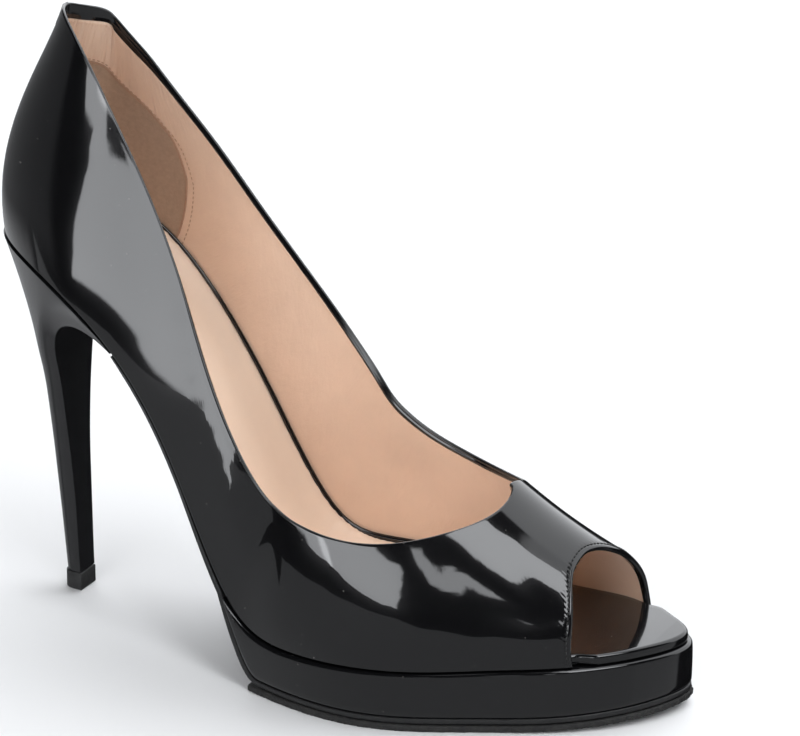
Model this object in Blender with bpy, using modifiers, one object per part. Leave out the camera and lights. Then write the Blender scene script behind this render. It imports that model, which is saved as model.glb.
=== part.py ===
"""Peep toe pump, right shoe: solids of the part, one named object per node. Metres, +X to the toe, +Z up."""
import math

import bpy
import numpy as np

# Names of the collections
PART_COLLECTION = "peep_toe_pump"

# Sizes in millimetres, worked out from the length, the ball width and the heel height
MM = 0.001
SHOE_LENGTH = 219.0
X_CENTRE = 109.95
Y_CENTRE = -4.7
UPPER_WALL = 1.8
CLEARANCE = 0.3
INSOLE_THICKNESS = 3.0
SOCK_THICKNESS = 1.0
OUTSOLE_THICKNESS = 1.7
HALF_SOLE_THICKNESS = 2.0
PLATFORM_LIP = 1.1
HALF_SOLE_LIP = 1.5
TOP_PIECE_HEIGHT = 5.7
TOE_SPRING = 3.0
TOE_SPRING_START = 172.0
WEDGE_START = 92.6
HALF_SOLE_START = 103.0
SEAT_FRONT_ROW = 8.87
PEEP_CORNER_ROW = 1.76
SOCK_FRONT_ROW = 3.3

# Mesh density
UPPER_PEEP_STEPS = 11
UPPER_SIDE_STEPS = 38
UPPER_RISE_STEPS = 11

# Rows of the last from the toe tip to the back of the heel, each with its lateral and medial feather
# point, the ridge or rim above it, how far and how steeply the wall leaves the feather, how far it runs
# in at the top, the heading there, the half width of the rim and its drop
LAST_COLUMNS = ("lateral_x", "lateral_y", "medial_x", "medial_y", "ridge_x", "ridge_y", "ridge_z",
                "rise", "reach", "lean", "heading", "rim_half", "rim_drop")
LAST_ROWS = (
    (219.0, 12.6, 219.0, 12.6, 203.0, 10.0, 38.0, 8.4, 9.0, 0.7, 0.0, 0.0, 0.0),
    (210.5, -5.0, 211.0, 22.3, 203.4, 9.0, 40.4, 13.2, 10.8, 2.5, -45.0, 0.0, 0.0),
    (193.0, -20.1, 196.0, 30.9, 199.4, 7.2, 43.8, 14.1, 12.6, 5.5, -88.0, 0.0, 0.0),
    (176.0, -29.0, 176.0, 33.0, 179.6, 4.9, 54.0, 11.5, 18.6, 4.0, -90.0, 0.0, 0.0),
    (157.0, -38.7, 156.0, 34.5, 162.5, 3.1, 65.5, 12.6, 20.9, 3.4, -90.0, 0.0, 0.0),
    (137.0, -43.8, 138.0, 33.1, 145.7, 1.3, 76.1, 18.0, 25.4, 4.2, -90.0, 0.0, 0.0),
    (115.0, -41.5, 117.0, 29.0, 127.1, 0.1, 94.8, 23.1, 27.2, 5.1, -90.0, 0.0, 0.0),
    (93.0, -35.0, 95.0, 24.5, 109.9, 0.3, 121.2, 22.5, 31.0, 6.8, -90.0, 2.0, 5.0),
    (70.0, -29.2, 71.0, 22.0, 85.4, 0.5, 150.2, 23.5, 30.4, 7.2, -92.0, 9.3, 40.0),
    (47.0, -27.5, 47.0, 23.2, 58.1, 0.0, 171.9, 27.2, 22.0, 6.6, -105.0, 11.9, 65.0),
    (21.0, -22.9, 21.0, 21.1, 33.0, 0.0, 190.8, 31.5, 20.0, 10.1, -140.0, 10.6, 75.0),
    (0.0, 0.0, 0.0, 0.0, 22.0, 0.0, 192.1, 35.3, 18.5, 13.0, -180.0, 0.0, 80.0),
)
LAST_ROW_COUNT = len(LAST_ROWS)
BACK_ROW = LAST_ROW_COUNT - 1
LOOP_LENGTH = 2 * BACK_ROW

# Side view of the last's bottom: seat, shank, tread and toe
BOTTOM_COLUMNS = ("x", "z")
BOTTOM_ROWS = (
    (0.0, 115.0), (20.0, 111.8), (45.0, 96.9), (70.0, 64.2), (93.0, 25.7), (115.0, 16.8),
    (137.0, 17.5), (158.0, 18.1), (178.0, 19.0), (196.0, 19.9), (213.0, 20.6),
)

# Side view of the outsole's top where the platform lies between it and the last
WEDGE_COLUMNS = ("x", "z")
WEDGE_ROWS = (
    (45.0, 116.0), (70.0, 76.0), (80.0, 54.0), (86.0, 39.5), (89.5, 31.4), (93.2, 22.7), (97.8, 13.4), (101.1, 8.1), (104.0, 5.1),
    (108.0, 4.2), (115.0, 4.1), (172.0, 4.1), (220.0, 4.1),
)

# Topline from the throat to the back: row and height on the lateral wall, height and row on the medial wall
TOPLINE_COLUMNS = ("row", "lateral", "medial", "medial_row")
TOPLINE_ROWS = (
    (3.76, 1.0, 1.0, 3.76), (3.64, 0.897, 0.912, 3.772), (3.99, 0.674, 0.719, 3.989),
    (5.177, 0.466, 0.578, 5.157), (6.377, 0.387, 0.537, 6.2), (7.704, 0.371, 0.543, 7.71),
    (8.471, 0.521, 0.59, 8.738), (9.268, 0.702, 0.737, 9.461), (9.963, 0.846, 0.791, 9.834),
    (10.7, 0.899, 0.882, 10.66), (11.0, 0.904, 0.904, 11.0),
)

# Share of the outsole's full thickness along the shank
SHANK_COLUMNS = ("x", "share")
SHANK_ROWS = ((48.0, 0.3), (55.0, 0.58), (75.0, 0.7), (96.0, 1.0))

# Edge of the peep opening, from the lateral feather over the ridge to the medial feather
PEEP_COLUMNS = ("turn", "row")
PEEP_ROWS = (
    (0.0, 1.76), (0.165, 1.93), (0.253, 2.112), (0.302, 2.241), (0.36, 2.376), (0.42, 2.435), (0.47, 2.44),
    (0.52, 2.385), (0.6, 2.245), (0.7, 2.114), (0.78, 2.004), (0.86, 1.9), (0.93, 1.84), (1.0, 1.76),
)

# Heel stem from its foot to below the seat: height, front, width and depth of each section
HEEL_COLUMNS = ("z", "front_x", "width", "depth")
HEEL_ROWS = (
    (6.0, 24.0, 8.2, 6.2), (14.0, 23.7, 8.6, 6.6), (24.0, 23.4, 9.1, 7.2), (36.0, 22.9, 10.1, 7.8),
    (48.0, 22.3, 11.8, 8.2), (60.0, 21.8, 14.6, 8.7), (70.0, 21.5, 17.6, 9.4), (77.0, 21.2, 20.6, 10.2),
)

# Looks only: the slots and their flat colours
SLOT_COLOURS = {
    "patent": (0.012, 0.012, 0.014, 1.0),
    "sock_leather": (0.72, 0.50, 0.37, 1.0),
    "sole_rubber": (0.020, 0.020, 0.021, 1.0),
    "outsole_leather": (0.016, 0.016, 0.017, 1.0),
    "tip_plastic": (0.014, 0.014, 0.014, 1.0),
}


def column(rows, columns, name):
    """One named column of a table, as numbers."""
    place = columns.index(name)
    return np.array([row[place] for row in rows], dtype=float)


def natural_spline(knots, values, query):
    """Natural cubic spline through the knots, held level beyond both ends."""
    knots = np.asarray(knots, dtype=float)
    values = np.asarray(values, dtype=float)
    count = len(knots)
    step = np.diff(knots)
    matrix = np.eye(count)
    right = np.zeros(count)
    for i in range(1, count - 1):
        matrix[i, i - 1] = step[i - 1]
        matrix[i, i] = 2.0 * (step[i - 1] + step[i])
        matrix[i, i + 1] = step[i]
        right[i] = 6.0 * ((values[i + 1] - values[i]) / step[i] - (values[i] - values[i - 1]) / step[i - 1])
    bend = np.linalg.solve(matrix, right)
    query = np.clip(np.asarray(query, dtype=float), knots[0], knots[-1])
    i = np.clip(np.searchsorted(knots, query) - 1, 0, count - 2)
    part = (query - knots[i]) / step[i]
    rest = 1.0 - part
    curve = (rest**3 - rest) * bend[i] + (part**3 - part) * bend[i + 1]
    return values[i] * rest + values[i + 1] * part + step[i] ** 2 / 6.0 * curve


def ring_bend(values):
    """Second derivatives of the closed cubic spline through values at whole numbers."""
    count = len(values)
    matrix = np.zeros((count, count))
    for i in range(count):
        matrix[i, (i - 1) % count] = 1.0
        matrix[i, i] = 4.0
        matrix[i, (i + 1) % count] = 1.0
    right = 6.0 * (np.roll(values, -1) - 2.0 * values + np.roll(values, 1))
    return np.linalg.solve(matrix, right)


def ring_spline(values, query):
    """Closed cubic spline through values at whole numbers."""
    values = np.asarray(values, dtype=float)
    bend = ring_bend(values)
    count = len(values)
    query = np.asarray(query, dtype=float)
    low = np.floor(query).astype(int)
    part = query - low
    rest = 1.0 - part
    a = low % count
    b = (low + 1) % count
    curve = (rest**3 - rest) * bend[a] + (part**3 - part) * bend[b]
    return values[a] * rest + values[b] * part + curve / 6.0


def there_and_back(lateral, medial):
    """Values down the lateral side and back up the medial side, as one closed loop."""
    return np.concatenate([lateral, medial[-2:0:-1]])


def last(name):
    """Column of the last's table."""
    return column(LAST_ROWS, LAST_COLUMNS, name)


def plan_point(row):
    """Feather line in plan at a row of the loop, without an offset."""
    x = ring_spline(there_and_back(last("lateral_x"), last("medial_x")), row)
    y = ring_spline(there_and_back(last("lateral_y"), last("medial_y")), row)
    return np.stack([x, y], axis=-1)


def plan_outward(row):
    """Outward direction of the feather line in plan."""
    ahead = plan_point(np.asarray(row) + 0.001)
    behind = plan_point(np.asarray(row) - 0.001)
    along = ahead - behind
    along = along / np.linalg.norm(along, axis=-1, keepdims=True)
    return np.stack([-along[..., 1], along[..., 0]], axis=-1)


def plan_offset(row, offset):
    """Feather line in plan, moved outward by an offset."""
    return plan_point(row) + plan_outward(row) * np.asarray(offset)[..., None]


def bottom_z(x):
    """Height of the last's bottom."""
    return natural_spline(column(BOTTOM_ROWS, BOTTOM_COLUMNS, "x"), column(BOTTOM_ROWS, BOTTOM_COLUMNS, "z"), x)


def bottom_normal(x):
    """Upward normal of the last's bottom in side view."""
    inside = np.clip(x, 2.0, 212.0)
    fall = bottom_z(inside - 0.5) - bottom_z(inside + 0.5)
    angle = np.arctan(fall)
    return np.stack([np.sin(angle), np.zeros_like(angle), np.cos(angle)], axis=-1)


def wall_point(row, height):
    """Outer surface of the upper at a row of the loop and a height from 0 at the feather to 1."""
    row = np.asarray(row, dtype=float)
    height = np.asarray(height, dtype=float)[..., None]
    plan = plan_point(row)
    feather = np.stack([plan[..., 0], plan[..., 1], bottom_z(plan[..., 0])], axis=-1)
    normal = bottom_normal(plan[..., 0])
    flat = plan_outward(row)
    run = np.stack([-flat[..., 1], flat[..., 0], np.zeros_like(flat[..., 0])], axis=-1)
    outward = np.cross(run, normal)
    outward = outward / np.linalg.norm(outward, axis=-1, keepdims=True)
    lean = np.radians(ring_spline(there_and_back(last("lean"), last("lean")), row))[..., None]
    leave = normal * np.cos(lean) + outward * np.sin(lean)
    rise = ring_spline(there_and_back(last("rise"), last("rise")), row)[..., None]
    reach = ring_spline(there_and_back(last("reach"), last("reach")), row)[..., None]
    one_way = np.where(row > BACK_ROW, LOOP_LENGTH - row, row)
    side = np.where(row > BACK_ROW, 1.0, -1.0)
    rows = np.arange(LAST_ROW_COUNT)
    rim_half = np.clip(natural_spline(rows, last("rim_half"), one_way), 0.0, None)
    drop = np.radians(np.clip(natural_spline(rows, last("rim_drop"), one_way), 0.0, 90.0))
    ridge = [ring_spline(there_and_back(last(name), last(name)), row) for name in ("ridge_x", "ridge_y", "ridge_z")]
    top = np.stack([ridge[0], ridge[1] + side * rim_half, ridge[2]], axis=-1)
    turn = np.radians(ring_spline(there_and_back(last("heading"), -last("heading")), row))
    before = np.clip(one_way - 0.05, 0, BACK_ROW)
    after = np.clip(one_way + 0.05, 0, BACK_ROW)
    ridge_x = there_and_back(last("ridge_x"), last("ridge_x"))
    ridge_z = there_and_back(last("ridge_z"), last("ridge_z"))
    step_x = ring_spline(ridge_x, after) - ring_spline(ridge_x, before)
    step_z = ring_spline(ridge_z, after) - ring_spline(ridge_z, before)
    step_x = np.where(np.abs(step_x) < 1e-6, 1e-6, step_x)
    fall = np.where((one_way > 1.5) & (one_way < 8), -step_z / step_x, np.where(one_way <= 1.5, 0.8, 1.0))
    level = np.stack([np.cos(turn), np.sin(turn), -np.cos(turn) * np.clip(fall, 0, 2) * np.cos(drop)], axis=-1)
    level = level / np.linalg.norm(level, axis=-1, keepdims=True)
    drop = drop[..., None]
    arrive = level * np.cos(drop) + np.array([0.0, 0.0, -1.0]) * np.sin(drop)
    arrive = arrive / np.linalg.norm(arrive, axis=-1, keepdims=True)
    low = feather + leave * rise
    high = top + arrive * reach
    rest = 1.0 - height
    return feather * rest**3 + 3 * low * rest**2 * height + 3 * high * rest * height**2 + top * height**3


def unfolded_point(row, turn):
    """Outer surface with the lateral side at turns from 0 to 0.5 and the medial side from 0.5 to 1."""
    lateral = turn <= 0.5
    loop_row = np.where(lateral, row, LOOP_LENGTH - row)
    height = np.where(lateral, 2.0 * turn, 2.0 * (1.0 - turn))
    return wall_point(loop_row, np.clip(height, 0.0, 1.0))


def topline(step):
    """Row and turn of the topline, step 0 at the throat, 10 at the back, 20 at the throat again."""
    rows = column(TOPLINE_ROWS, TOPLINE_COLUMNS, "row")
    lateral = column(TOPLINE_ROWS, TOPLINE_COLUMNS, "lateral")
    medial = column(TOPLINE_ROWS, TOPLINE_COLUMNS, "medial")
    medial_rows = column(TOPLINE_ROWS, TOPLINE_COLUMNS, "medial_row")
    row = ring_spline(there_and_back(rows, medial_rows), step)
    height = np.clip(ring_spline(there_and_back(lateral, medial), step), 0.0, 1.0)
    medial_side = np.asarray(step) > len(TOPLINE_ROWS) - 1
    return row, np.where(medial_side, 1.0 - height / 2.0, height / 2.0)


def peep_row(turn):
    """Row of the peep opening's edge at a turn from the lateral to the medial feather."""
    return natural_spline(column(PEEP_ROWS, PEEP_COLUMNS, "turn"), column(PEEP_ROWS, PEEP_COLUMNS, "row"), turn)


def upper_half(side_steps, peep_steps):
    """Lower rows on both sides, lateral lower turns and topline steps, from the throat to the back."""
    last_step = len(TOPLINE_ROWS) - 1
    corner_step = 1.9
    share = np.linspace(0.0, 1.0, peep_steps + 1)[:-1]
    peep_height = 1.0 - share
    low_turn = peep_height / 2.0
    low_row = peep_row(low_turn)
    medial_row = peep_row(1.0 - low_turn)
    high_step = corner_step * share
    share = 1.0 - (1.0 - np.linspace(0.0, 1.0, side_steps + 1)) ** 1.35
    step = corner_step + (last_step - corner_step) * share
    row, turn = topline(step)
    corner_gap = row[0] - PEEP_CORNER_ROW
    side_row = row - corner_gap * (1.0 - share) ** 2.2
    low_row = np.concatenate([low_row, side_row])
    medial_row = np.concatenate([medial_row, side_row])
    low_turn = np.concatenate([low_turn, np.zeros(side_steps + 1)])
    high_step = np.concatenate([high_step, step])
    return low_row, medial_row, low_turn, high_step


def new_object(name, points, faces, slot, collection):
    """Object with a mesh in metres, centred in plan, with its own material."""
    placed = [((x - X_CENTRE) * MM, (y - Y_CENTRE) * MM, z * MM) for x, y, z in points]
    mesh = bpy.data.meshes.new(name)
    mesh.from_pydata(placed, [], faces)
    mesh.validate()
    mesh.update()
    for polygon in mesh.polygons:
        polygon.use_smooth = True
    material = bpy.data.materials.new(name + "_" + slot)
    material.use_nodes = True
    shader = material.node_tree.nodes["Principled BSDF"]
    shader.inputs["Base Color"].default_value = SLOT_COLOURS[slot]
    material.diffuse_color = SLOT_COLOURS[slot]
    mesh.materials.append(material)
    item = bpy.data.objects.new(name, mesh)
    collection.objects.link(item)
    return item


def make_upper(collection):
    """Hollow shell of the upper: open surface between the bottom edge and the topline, thickened inward."""
    low_row, medial_row, low_turn, high_step = upper_half(UPPER_SIDE_STEPS, UPPER_PEEP_STEPS)
    last_step = len(TOPLINE_ROWS) - 1
    around_low_row = np.concatenate([low_row, medial_row[-2:0:-1]])
    around_low_turn = np.concatenate([low_turn, 1.0 - low_turn[-2:0:-1]])
    around_step = np.concatenate([high_step, 2 * last_step - high_step[-2:0:-1]])
    around = len(around_step)
    high_row, high_turn = topline(around_step)
    points = []
    for j in range(UPPER_RISE_STEPS + 1):
        part = j / UPPER_RISE_STEPS
        row = around_low_row * (1.0 - part) + high_row * part
        turn = around_low_turn * (1.0 - part) + high_turn * part
        points.extend(unfolded_point(row, turn).tolist())
    faces = []
    for j in range(UPPER_RISE_STEPS):
        for i in range(around):
            k = (i + 1) % around
            faces.append(((j + 1) * around + i, (j + 1) * around + k, j * around + k, j * around + i))
    item = new_object("upper", points, faces, "patent", collection)
    wall = item.modifiers.new("wall", "SOLIDIFY")
    wall.thickness = UPPER_WALL * MM
    wall.offset = -1.0
    wall.use_rim = True
    return item


def cap_faces(grid, along_count, cross_steps, flip):
    """Faces of a cap given as rows of point numbers, without repeated corners."""
    faces = []
    for i in range(along_count - 1):
        for c in range(cross_steps):
            distinct = []
            for corner in (grid[i][c], grid[i][c + 1], grid[i + 1][c + 1], grid[i + 1][c]):
                if corner not in distinct:
                    distinct.append(corner)
            if len(distinct) > 2:
                faces.append(tuple(reversed(distinct)) if flip else tuple(distinct))
    return faces


def make_slab(name, rows, offsets, rings, slot, collection, closed_end, cross_steps=4):
    """Slab under the foot, from a closed end at the first row to a cut or closed end at the last.

    Rings run up from the lower face, each with an inset and a point function.
    """
    count = len(rows)
    from_toe = rows[-1] > rows[0]
    lateral_rows = np.asarray(rows, dtype=float)
    medial_rows = LOOP_LENGTH - lateral_rows
    points = []

    def add(point):
        points.append([float(value) for value in point])
        return len(points) - 1

    rings_of_points = []
    sides = []
    for inset, place in rings:
        lateral = plan_offset(lateral_rows, offsets - inset)
        medial = plan_offset(medial_rows, offsets - inset)
        lateral[0] = medial[0] = (lateral[0] + medial[0]) / 2.0
        ring = [add(place(*p)) for p in lateral]
        if not closed_end:
            for c in range(1, cross_steps):
                part = c / cross_steps
                ring.append(add(place(*(lateral[-1] * (1.0 - part) + medial[-1] * part))))
        back_again = medial[1:-1] if closed_end else medial[1:]
        ring.extend(add(place(*p)) for p in back_again[::-1])
        rings_of_points.append(ring)
        sides.append((lateral, medial, place))
    faces = []
    length = len(rings_of_points[0])
    for low, high in zip(rings_of_points[:-1], rings_of_points[1:]):
        for i in range(length):
            k = (i + 1) % length
            face = (high[i], high[k], low[k], low[i])
            faces.append(face if from_toe else tuple(reversed(face)))
    for which in (0, -1):
        ring = rings_of_points[which]
        lateral, medial, place = sides[which]
        grid = [[ring[0]] * (cross_steps + 1)]
        for i in range(1, count):
            last_row = i == count - 1
            if last_row and closed_end:
                grid.append([ring[i]] * (cross_steps + 1))
                continue
            if last_row:
                between = ring[count:count + cross_steps - 1]
            else:
                between = []
                for c in range(1, cross_steps):
                    part = c / cross_steps
                    between.append(add(place(*(lateral[i] * (1.0 - part) + medial[i] * part))))
            grid.append([ring[i]] + between + [ring[length - i]])
        faces.extend(cap_faces(grid, count, cross_steps, (which == -1) != from_toe))
    return new_object(name, points, faces, slot, collection)


def toe_spring(x):
    """Rise of the tread towards the toe tip."""
    over = max(0.0, (x - TOE_SPRING_START) / (SHOE_LENGTH - TOE_SPRING_START))
    return TOE_SPRING * over * over


def above_last(height):
    """Point function: a height above the last's bottom, square to it."""
    def place(x, y):
        base = np.array([x, y, float(bottom_z(x))])
        return base + bottom_normal(np.float64(x)) * height
    return place


def outsole_top(x):
    """Height of the outsole's top face: under the last at the shank, under the platform ahead of it."""
    wedge = float(natural_spline(column(WEDGE_ROWS, WEDGE_COLUMNS, "x"), column(WEDGE_ROWS, WEDGE_COLUMNS, "z"), x))
    normal = bottom_normal(np.float64(x))
    under_last = float(bottom_z(x)) - CLEARANCE / float(normal[2])
    return min(under_last, wedge + toe_spring(x))


def outsole_point(depth):
    """Point function: a depth below the outsole's top face, square to it and less along the shank."""
    def place(x, y):
        share = float(np.interp(x, column(SHANK_ROWS, SHANK_COLUMNS, "x"), column(SHANK_ROWS, SHANK_COLUMNS, "share")))
        slope = outsole_top(x - 0.4) - outsole_top(x + 0.4)
        angle = math.atan2(slope, 0.8)
        run = depth * share
        return np.array([x - math.sin(angle) * run, y, outsole_top(x) - math.cos(angle) * run])
    return place


def platform_point(share, lift):
    """Point function: a share of the way up from the platform's lower to its upper face."""
    def place(x, y):
        slope = (outsole_top(x - 0.4) - outsole_top(x + 0.4)) / 0.8
        low = outsole_top(x) + CLEARANCE * math.hypot(1.0, slope)
        high = float(bottom_z(x)) - CLEARANCE / float(bottom_normal(np.float64(x))[2])
        high = max(high, low + 0.45)
        return np.array([x, y, low + (high - low) * share + lift * min(1.0, (high - low) / 6.0)])
    return place


def tread_point(height):
    """Point function: a height above the tread."""
    def place(x, y):
        return np.array([x, y, height + toe_spring(x)])
    return place


def rows_between(start, end, count, ease):
    """Rows from the toe, closer together near it."""
    share = np.linspace(0.0, 1.0, count) ** ease
    return start + (end - start) * share


def row_at_x(x):
    """Row of the lateral side whose feather point lies at x."""
    rows = np.linspace(2.0, BACK_ROW, 901)
    across = plan_point(rows)[:, 0]
    return float(np.interp(-x, -across, rows))


def make_insole(collection):
    """Wrapped insole board: inside the upper, and out to the edge as a ledge before the peep opening."""
    rows = np.concatenate([np.linspace(0.0, 1.55, 10), np.linspace(1.72, 2.2, 4), np.linspace(2.5, 10.0, 26),
                           np.linspace(10.2, 11.0, 6)])
    inside = UPPER_WALL + 0.45
    blend = np.clip((rows - 1.42) / 0.3, 0.0, 1.0)
    offsets = -0.3 - (inside - 0.3) * blend
    rings = (
        (0.45, above_last(0.0)),
        (0.0, above_last(0.6)),
        (0.0, above_last(INSOLE_THICKNESS - 0.9)),
        (0.25, above_last(INSOLE_THICKNESS - 0.25)),
        (0.9, above_last(INSOLE_THICKNESS)),
    )
    return make_slab("insole", rows, offsets, rings, "patent", collection, True)


def make_sock(collection):
    """Sock lining laid on the insole, from behind the peep opening to the back of the seat."""
    rows = np.concatenate([np.linspace(SOCK_FRONT_ROW, 10.0, 25), np.linspace(10.2, 11.0, 6)])
    offsets = np.full(len(rows), -(UPPER_WALL + 1.5))
    rows = rows[::-1]
    low = INSOLE_THICKNESS + CLEARANCE
    rings = (
        (0.0, above_last(low)),
        (0.0, above_last(low + SOCK_THICKNESS * 0.6)),
        (0.4, above_last(low + SOCK_THICKNESS)),
    )
    return make_slab("sock", rows, offsets, rings, "sock_leather", collection, False)


def make_platform(collection):
    """Wrapped platform: a wedge at the shank, with a rounded upper edge just proud of the upper."""
    rows = rows_between(0.0, row_at_x(WEDGE_START), 40, 1.15)
    offsets = np.full(len(rows), PLATFORM_LIP)
    rings = (
        (0.5, platform_point(0.0, 0.0)),
        (0.0, platform_point(0.0, 0.6)),
        (0.0, platform_point(1.0, -1.5)),
        (0.3, platform_point(1.0, -0.5)),
        (1.2, platform_point(1.0, 0.0)),
    )
    return make_slab("platform", rows, offsets, rings, "patent", collection, False)


def make_outsole(collection):
    """Thin outsole under the platform, up the shank to the heel's seat."""
    rows = rows_between(0.0, SEAT_FRONT_ROW - 0.02, 58, 1.1)
    shank = np.clip((rows - 6.6) / 1.2, 0.0, 1.0)
    offsets = 1.0 - 1.4 * shank
    rings = (
        (0.5, outsole_point(OUTSOLE_THICKNESS)),
        (0.0, outsole_point(OUTSOLE_THICKNESS - 0.5)),
        (0.0, outsole_point(0.3)),
        (0.3, outsole_point(0.0)),
    )
    return make_slab("outsole", rows, offsets, rings, "outsole_leather", collection, False)


def make_half_sole(collection):
    """Rubber sole under the forefoot, its rear end a straight step."""
    rows = rows_between(0.0, row_at_x(HALF_SOLE_START), 34, 1.15)
    offsets = np.full(len(rows), HALF_SOLE_LIP)
    rings = (
        (0.5, tread_point(0.0)),
        (0.0, tread_point(0.5)),
        (0.0, tread_point(HALF_SOLE_THICKNESS - 0.4)),
        (0.4, tread_point(HALF_SOLE_THICKNESS)),
    )
    return make_slab("half_sole", rows, offsets, rings, "sole_rubber", collection, False)


def smooth_share(value):
    """Smooth step from 0 to 1."""
    value = np.clip(value, 0.0, 1.0)
    return value * value * (3.0 - 2.0 * value)


def stem_section(z, angles, grow=0.0):
    """Rounded back of the heel's section at a height, from the lateral to the medial corner of the breast."""
    heights = column(HEEL_ROWS, HEEL_COLUMNS, "z")
    front = float(natural_spline(heights, column(HEEL_ROWS, HEEL_COLUMNS, "front_x"), z))
    half = float(natural_spline(heights, column(HEEL_ROWS, HEEL_COLUMNS, "width"), z)) / 2.0 + grow
    depth = float(natural_spline(heights, column(HEEL_ROWS, HEEL_COLUMNS, "depth"), z)) + grow
    power = 0.86
    sine = np.sign(np.sin(angles)) * np.abs(np.sin(angles)) ** power
    cosine = np.abs(np.cos(angles)) ** power
    return np.stack([front - depth * cosine, half * sine, np.full(len(angles), z)], axis=-1)


def make_heel(collection):
    """Covered stiletto heel: stem with a flat breast, flaring into the cup under the seat."""
    around = 25
    stem_steps = 13
    flare_steps = 12
    cross_steps = 4
    angles = np.linspace(-math.pi / 2.0, math.pi / 2.0, around)
    share = np.abs(angles) / (math.pi / 2.0)
    side = np.sign(angles)
    seat_row = BACK_ROW + side * (BACK_ROW - SEAT_FRONT_ROW) * share ** 1.15
    seat_plan = plan_offset(seat_row, np.full(around, 0.5 - 0.8 * smooth_share((share - 0.75) / 0.25)))
    normal = bottom_normal(seat_plan[:, 0])
    seat_z = bottom_z(seat_plan[:, 0]) - CLEARANCE / normal[:, 2]
    seat = np.stack([seat_plan[:, 0], seat_plan[:, 1], seat_z], axis=-1)
    stem_top_z = HEEL_ROWS[-1][0]
    stem_top = stem_section(stem_top_z, angles)
    below = stem_section(stem_top_z - 1.0, angles)
    start_run = (stem_top - below)
    start_run = start_run / np.linalg.norm(start_run, axis=-1, keepdims=True)
    front_weight = smooth_share((share - 0.45) / 0.5)[:, None]
    start_length = 30.0 * (1.0 - front_weight) + 56.0 * front_weight
    flat = plan_outward(seat_row)
    rear_arrive = np.stack([flat[:, 0] * 0.34, flat[:, 1] * 0.34, np.ones(around)], axis=-1)
    front_arrive = np.stack([np.full(around, 0.86), flat[:, 1] * 0.12, np.full(around, -0.56)], axis=-1)
    rear_length = 30.0
    front_length = 40.0
    arrive = rear_arrive * rear_length * (1.0 - front_weight) + front_arrive * front_length * front_weight
    loops = []
    for i in range(stem_steps):
        z = HEEL_ROWS[0][0] + (stem_top_z - HEEL_ROWS[0][0]) * i / stem_steps
        inset = -0.35 if i == 0 else 0.0
        section = stem_section(z, angles, inset)
        loops.append(section)
        if i == 0:
            loops.append(stem_section(z + 0.5, angles))
    for i in range(flare_steps + 1):
        s = i / flare_steps
        h00 = 2 * s**3 - 3 * s**2 + 1
        h10 = s**3 - 2 * s**2 + s
        h01 = -2 * s**3 + 3 * s**2
        h11 = s**3 - s**2
        loops.append(stem_top * h00 + start_run * start_length * h10 + seat * h01 + arrive * h11)
    points = []
    rings = []
    for loop in loops:
        ring = []
        for p in loop:
            points.append([float(value) for value in p])
            ring.append(len(points) - 1)
        for c in range(1, cross_steps):
            part = c / cross_steps
            p = loop[-1] * (1.0 - part) + loop[0] * part
            points.append([float(value) for value in p])
            ring.append(len(points) - 1)
        rings.append(ring)
    faces = []
    length = len(rings[0])
    for low, high in zip(rings[:-1], rings[1:]):
        for i in range(length):
            k = (i + 1) % length
            faces.append((high[i], high[k], low[k], low[i]))
    half = (around - 1) // 2
    for which in (0, -1):
        ring = rings[which]
        loop = loops[which]
        grid = [[ring[half]] * (cross_steps + 1)]
        for i in range(1, half + 1):
            if i == half:
                between = list(reversed(ring[around:]))
            else:
                between = []
                for c in range(1, cross_steps):
                    part = c / cross_steps
                    p = loop[half - i] * (1.0 - part) + loop[half + i] * part
                    points.append([float(value) for value in p])
                    between.append(len(points) - 1)
            grid.append([ring[half - i]] + between + [ring[half + i]])
        faces.extend(cap_faces(grid, half + 1, cross_steps, which == -1))
    return new_object("heel", points, faces, "patent", collection)


def make_top_piece(collection):
    """Hard tip under the heel, a touch proud of the heel's foot."""
    half = HEEL_ROWS[0][2] / 2.0 + 0.05
    front = HEEL_ROWS[0][1] + 0.3
    depth = HEEL_ROWS[0][3] + 0.4
    outline = []
    for x, y in ((0.0, -1.0), (0.55, -0.98), (0.9, -0.62), (1.0, 0.0), (0.9, 0.62), (0.55, 0.98), (0.0, 1.0)):
        outline.append((front - depth * x, half * y))
    centre_x = front - depth * 0.5
    levels = ((0.0, 0.93), (0.4, 1.0), (TOP_PIECE_HEIGHT - 0.3, 1.0), (TOP_PIECE_HEIGHT, 0.95))
    points = []
    for z, size in levels:
        for x, y in outline:
            points.append((centre_x + (x - centre_x) * size, y * size, z))
    count = len(outline)
    faces = []
    for level in range(len(levels) - 1):
        for i in range(count):
            k = (i + 1) % count
            low = level * count
            high = low + count
            faces.append((high + i, high + k, low + k, low + i))
    faces.append(tuple(range(count)))
    top = (len(levels) - 1) * count
    faces.append(tuple(reversed(range(top, top + count))))
    item = new_object("top_piece", points, faces, "tip_plastic", collection)
    for polygon in item.data.polygons:
        polygon.use_smooth = False
    return item


def main():
    """Clear the scene and build every node."""
    for item in list(bpy.data.objects):
        bpy.data.objects.remove(item, do_unlink=True)
    collection = bpy.data.collections.new(PART_COLLECTION)
    bpy.context.scene.collection.children.link(collection)
    make_upper(collection)
    make_insole(collection)
    make_sock(collection)
    make_platform(collection)
    make_outsole(collection)
    make_half_sole(collection)
    make_heel(collection)
    make_top_piece(collection)


main()
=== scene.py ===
"""Looks of a right peep toe pump in patent leather, laid out as an add-on and run as a script.

Shapes are worked out in millimetres, x from the back of the heel to the toe tip, y towards the
medial side, z up, and are moved into the frame in metres when a mesh is made.
"""
import math

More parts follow.
